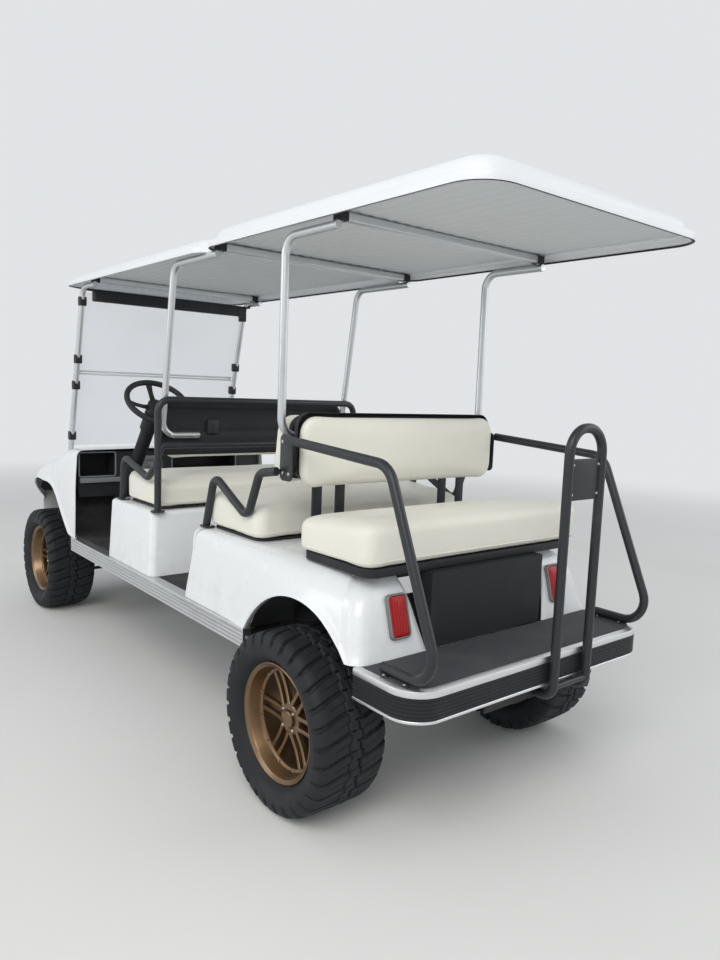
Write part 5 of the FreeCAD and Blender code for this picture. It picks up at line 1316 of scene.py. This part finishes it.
class BuildDash(CartOperator, bpy.types.Operator):
    """Make the steering wheel, the dash rail, the bin lips and the pedal faces"""
    bl_idname = "cart.dash"
    bl_label = "Dash and controls"

    def build(self, sizes):
        node = "steering_wheel"
        outwards(piece("steering_ring", ring_wheel(), "grained_plastic", (node,), body=node))
        rail = slab((-0.535, fy(0.516), 0.787), (0.535, fy(0.530), 0.814), "x", 0.006, 0.004)
        closed_pieces("grey_moulding", "trim_black", ("dash_rail", rail), ("dash_details", dash_details()))
        closed_pieces("tyre_rubber", "trim_black", ("pedal_ribs", pedal_ribs()))


class BuildFittings(CartOperator, bpy.types.Operator):
    """Make the bolts, the sills' bright edges and the grey liners above the tail corners"""
    bl_idname = "cart.fittings"
    bl_label = "Fittings"

    def build(self, sizes):
        edges = mirrored_all([slab((0.5965, fy(0.575), 0.5095), (0.6015, ry(-0.264), 0.5138), "y", 0.002, 0.001),
                              slab((0.588, fy(0.575), 0.4425), (0.5925, ry(-0.264), 0.4475), "y", 0.002, 0.001)])
        liners = mirrored_all([slab((0.300, ry(0.185), 0.7765), (0.455, ry(0.236), 0.7838), "z", 0.016, 0.002)])
        closed_pieces("zinc_bolt", "strut_silver", ("bolt_heads", small_bolts()))
        closed_pieces("bright_edge", "strut_silver", ("sill_edges", edges))
        closed_pieces("grey_moulding", "trim_black", ("tail_pockets", liners))


# Each bench: its name, its ends along the cart, the height of its cushion's foot, and its base's foot and top
BENCHES = (("front", fy(1.083), fy(1.440), 0.788, 0.7785, 0.7877),
           ("middle", ry(-0.700), ry(-0.330), 0.794, 0.7845, 0.7937),
           ("rear", ry(-0.096), ry(0.272), 0.812, 0.7845, 0.8117))
MIDDLE_LEAN = math.radians(8.0)
PAD_Z = 1.118


class BuildCushions(CartOperator, bpy.types.Operator):
    """Make the benches and backrest pads with a cloth simulation, then their seams"""
    bl_idname = "cart.cushions"
    bl_label = "Cushions"

    def build(self, sizes):
        for name, y0, y1, low, *_ in BENCHES:
            top = low + 0.130
            part = crowned((-0.516, y0 - 0.004, low + 0.006), (0.516, y1 + 0.004, top), 0.048, sizes.cushion_crown)
            back, front = (y0, y1) if name == "rear" else (y1, y0)
            item = piece(name + "_bench_cushion", sloped(part, back, front, low, top, 0.030), "cream_vinyl",
                         (name + "_cushion",))
            soften(item, 0.008, 0.010)
            welt = welt_round(item, (-0.50, y0, low), (0.50, y1, low + 0.14), 0.048)
            piece(name + "_bench_welt", welt, "vinyl_welt")
        for name, facing, lean in (("front", -1, 0.0), ("middle", -1, MIDDLE_LEAN), ("rear", 1, 0.0)):
            low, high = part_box(name + "_backrest")
            middle = np.array((0, (low.y + high.y) / 2, PAD_Z))
            points, faces = crowned((-0.464, -0.025, 0.9965 - PAD_Z), (0.464, 0.025, 1.2395 - PAD_Z), 0.062, 0.010, "y")
            turned = np.array(Matrix.Rotation(-lean, 3, "X"))
            points = points * (facing, facing, 1) @ turned.T + middle
            item = piece(name + "_backrest_pad", (points, faces), "cream_vinyl", (name + "_backrest",))
            soften(outwards(item), 0.006, 0.009)
            press_flat(item, middle, np.array((0, facing * math.cos(lean), math.sin(lean))), -0.0262)


# The photograph's camera: its focal length and height in pixels, its place, direction and roll
PHOTO_FOCAL, PHOTO_HEIGHT, SENSOR = 744.1, 960, 36.0
CAMERA_PLACE, CAMERA_AHEAD, CAMERA_ROLL = (1.8467, fy(4.4635), 1.3248), Vector((-0.62743, -0.76961, -0.11846)), 0.0378


class BuildStage(CartOperator, bpy.types.Operator):
    """Make the floor, the lamps and the camera at the photograph's angle"""
    bl_idname = "cart.stage"
    bl_label = "Floor, light and camera"

    def build(self, sizes):
        scene = bpy.context.scene
        scene.view_settings.view_transform = "Standard"

        def put(name, data):
            item = bpy.data.objects.new(name, data)
            scene.collection.objects.link(item)
            return item

        ground = bpy.data.meshes.new("studio_floor")
        ground.from_pydata([(-60, -60, 0), (60, -60, 0), (60, 60, 0), (-60, 60, 0)], [], [(0, 1, 2, 3)])
        ground.materials.append(PAINTS["pale_floor"])
        put("studio_floor", ground)
        self.sky(scene)
        for name, place, aim, size, power, tone in (
                ("key", (5.5, 5.0, 6.5), (0, 0, 0.6), 5.0, 375, (1.0, 0.98, 0.95)),
                ("side", (7.0, -2.5, 3.5), (0, 0, 0.7), 4.0, 110, (0.95, 0.98, 1.0)),
                ("fill", (-6.0, 5.0, 4.0), (0, 0, 0.8), 5.0, 120, (0.96, 0.98, 1.0))):
            data = bpy.data.lights.new(name, "AREA")
            data.shape, data.size, data.energy, data.color = "SQUARE", size, power, tone
            lamp = put(name, data)
            lamp.location = place
            lamp.rotation_euler = (Vector(aim) - Vector(place)).to_track_quat("-Z", "Y").to_euler()
        data = bpy.data.cameras.new("camera")
        data.sensor_fit, data.sensor_height, data.sensor_width = "AUTO", SENSOR, SENSOR
        data.lens = PHOTO_FOCAL / PHOTO_HEIGHT * SENSOR
        scene.camera = put("camera", data)
        aimed = CAMERA_AHEAD.to_track_quat("-Z", "Y").to_matrix().to_4x4() @ Matrix.Rotation(CAMERA_ROLL, 4, "Z")
        scene.camera.matrix_world = Matrix.Translation(CAMERA_PLACE) @ aimed

    def sky(self, scene):
        """A plain light on the cart, and a paler background behind it and in glass and gloss."""
        scene.world = bpy.data.worlds.new("studio")
        scene.world.use_nodes = True
        tree = scene.world.node_tree
        light, seen = tree.nodes["Background"], tree.nodes.new("ShaderNodeBackground")
        for node, tone, strength in ((light, (0.93, 0.96, 1.0, 1.0), 0.5), (seen, (0.86, 0.88, 0.9, 1.0), 0.88)):
            node.inputs[0].default_value, node.inputs[1].default_value = tone, strength
        paths = tree.nodes.new("ShaderNodeLightPath").outputs
        total = paths["Is Camera Ray"]
        for kind in ("Is Glossy Ray", "Is Transmission Ray"):
            added = tree.nodes.new("ShaderNodeMath")
            added.operation, added.use_clamp = "ADD", True
            tree.links.new(total, added.inputs[0])
            tree.links.new(paths[kind], added.inputs[1])
            total = added.outputs[0]
        mixed = tree.nodes.new("ShaderNodeMixShader")
        for source, socket in zip((total, light.outputs[0], seen.outputs[0]), mixed.inputs):
            tree.links.new(source, socket)
        tree.links.new(mixed.outputs[0], tree.nodes["World Output"].inputs[0])


OPERATORS = (BuildMaterials, BuildWheels, BuildBody, BuildRoof, BuildTubes, BuildFootplate, BuildLamps, BuildSeatBacks,
             BuildDash, BuildFittings, BuildCushions, BuildStage)


class CartPanel(bpy.types.Panel):
    """Lists the cart's operators, sizes and colours"""
    bl_idname = "VIEW3D_PT_cart"
    bl_label = "Golf cart"
    bl_space_type = "VIEW_3D"
    bl_region_type = "UI"
    bl_category = "Golf cart"

    def draw(self, context):
        for operator in OPERATORS:
            self.layout.operator(operator.bl_idname)
        for group in (context.scene.cart_sizes, context.scene.cart_colours):
            for name in group.bl_rna.properties.keys():
                if name not in ("rna_type", "name"):
                    self.layout.prop(group, name)


CLASSES = (CartSizes, CartColours, *OPERATORS, CartPanel)


def register():
    for item in CLASSES:
        bpy.utils.register_class(item)
    bpy.types.Scene.cart_sizes = PointerProperty(type=CartSizes)
    bpy.types.Scene.cart_colours = PointerProperty(type=CartColours)


def unregister():
    del bpy.types.Scene.cart_colours
    del bpy.types.Scene.cart_sizes
    for item in reversed(CLASSES):
        bpy.utils.unregister_class(item)


def main():
    register()
    for operator in OPERATORS:
        group, name = operator.bl_idname.split(".")
        getattr(getattr(bpy.ops, group), name)()


if __name__ == "__main__":
    main()
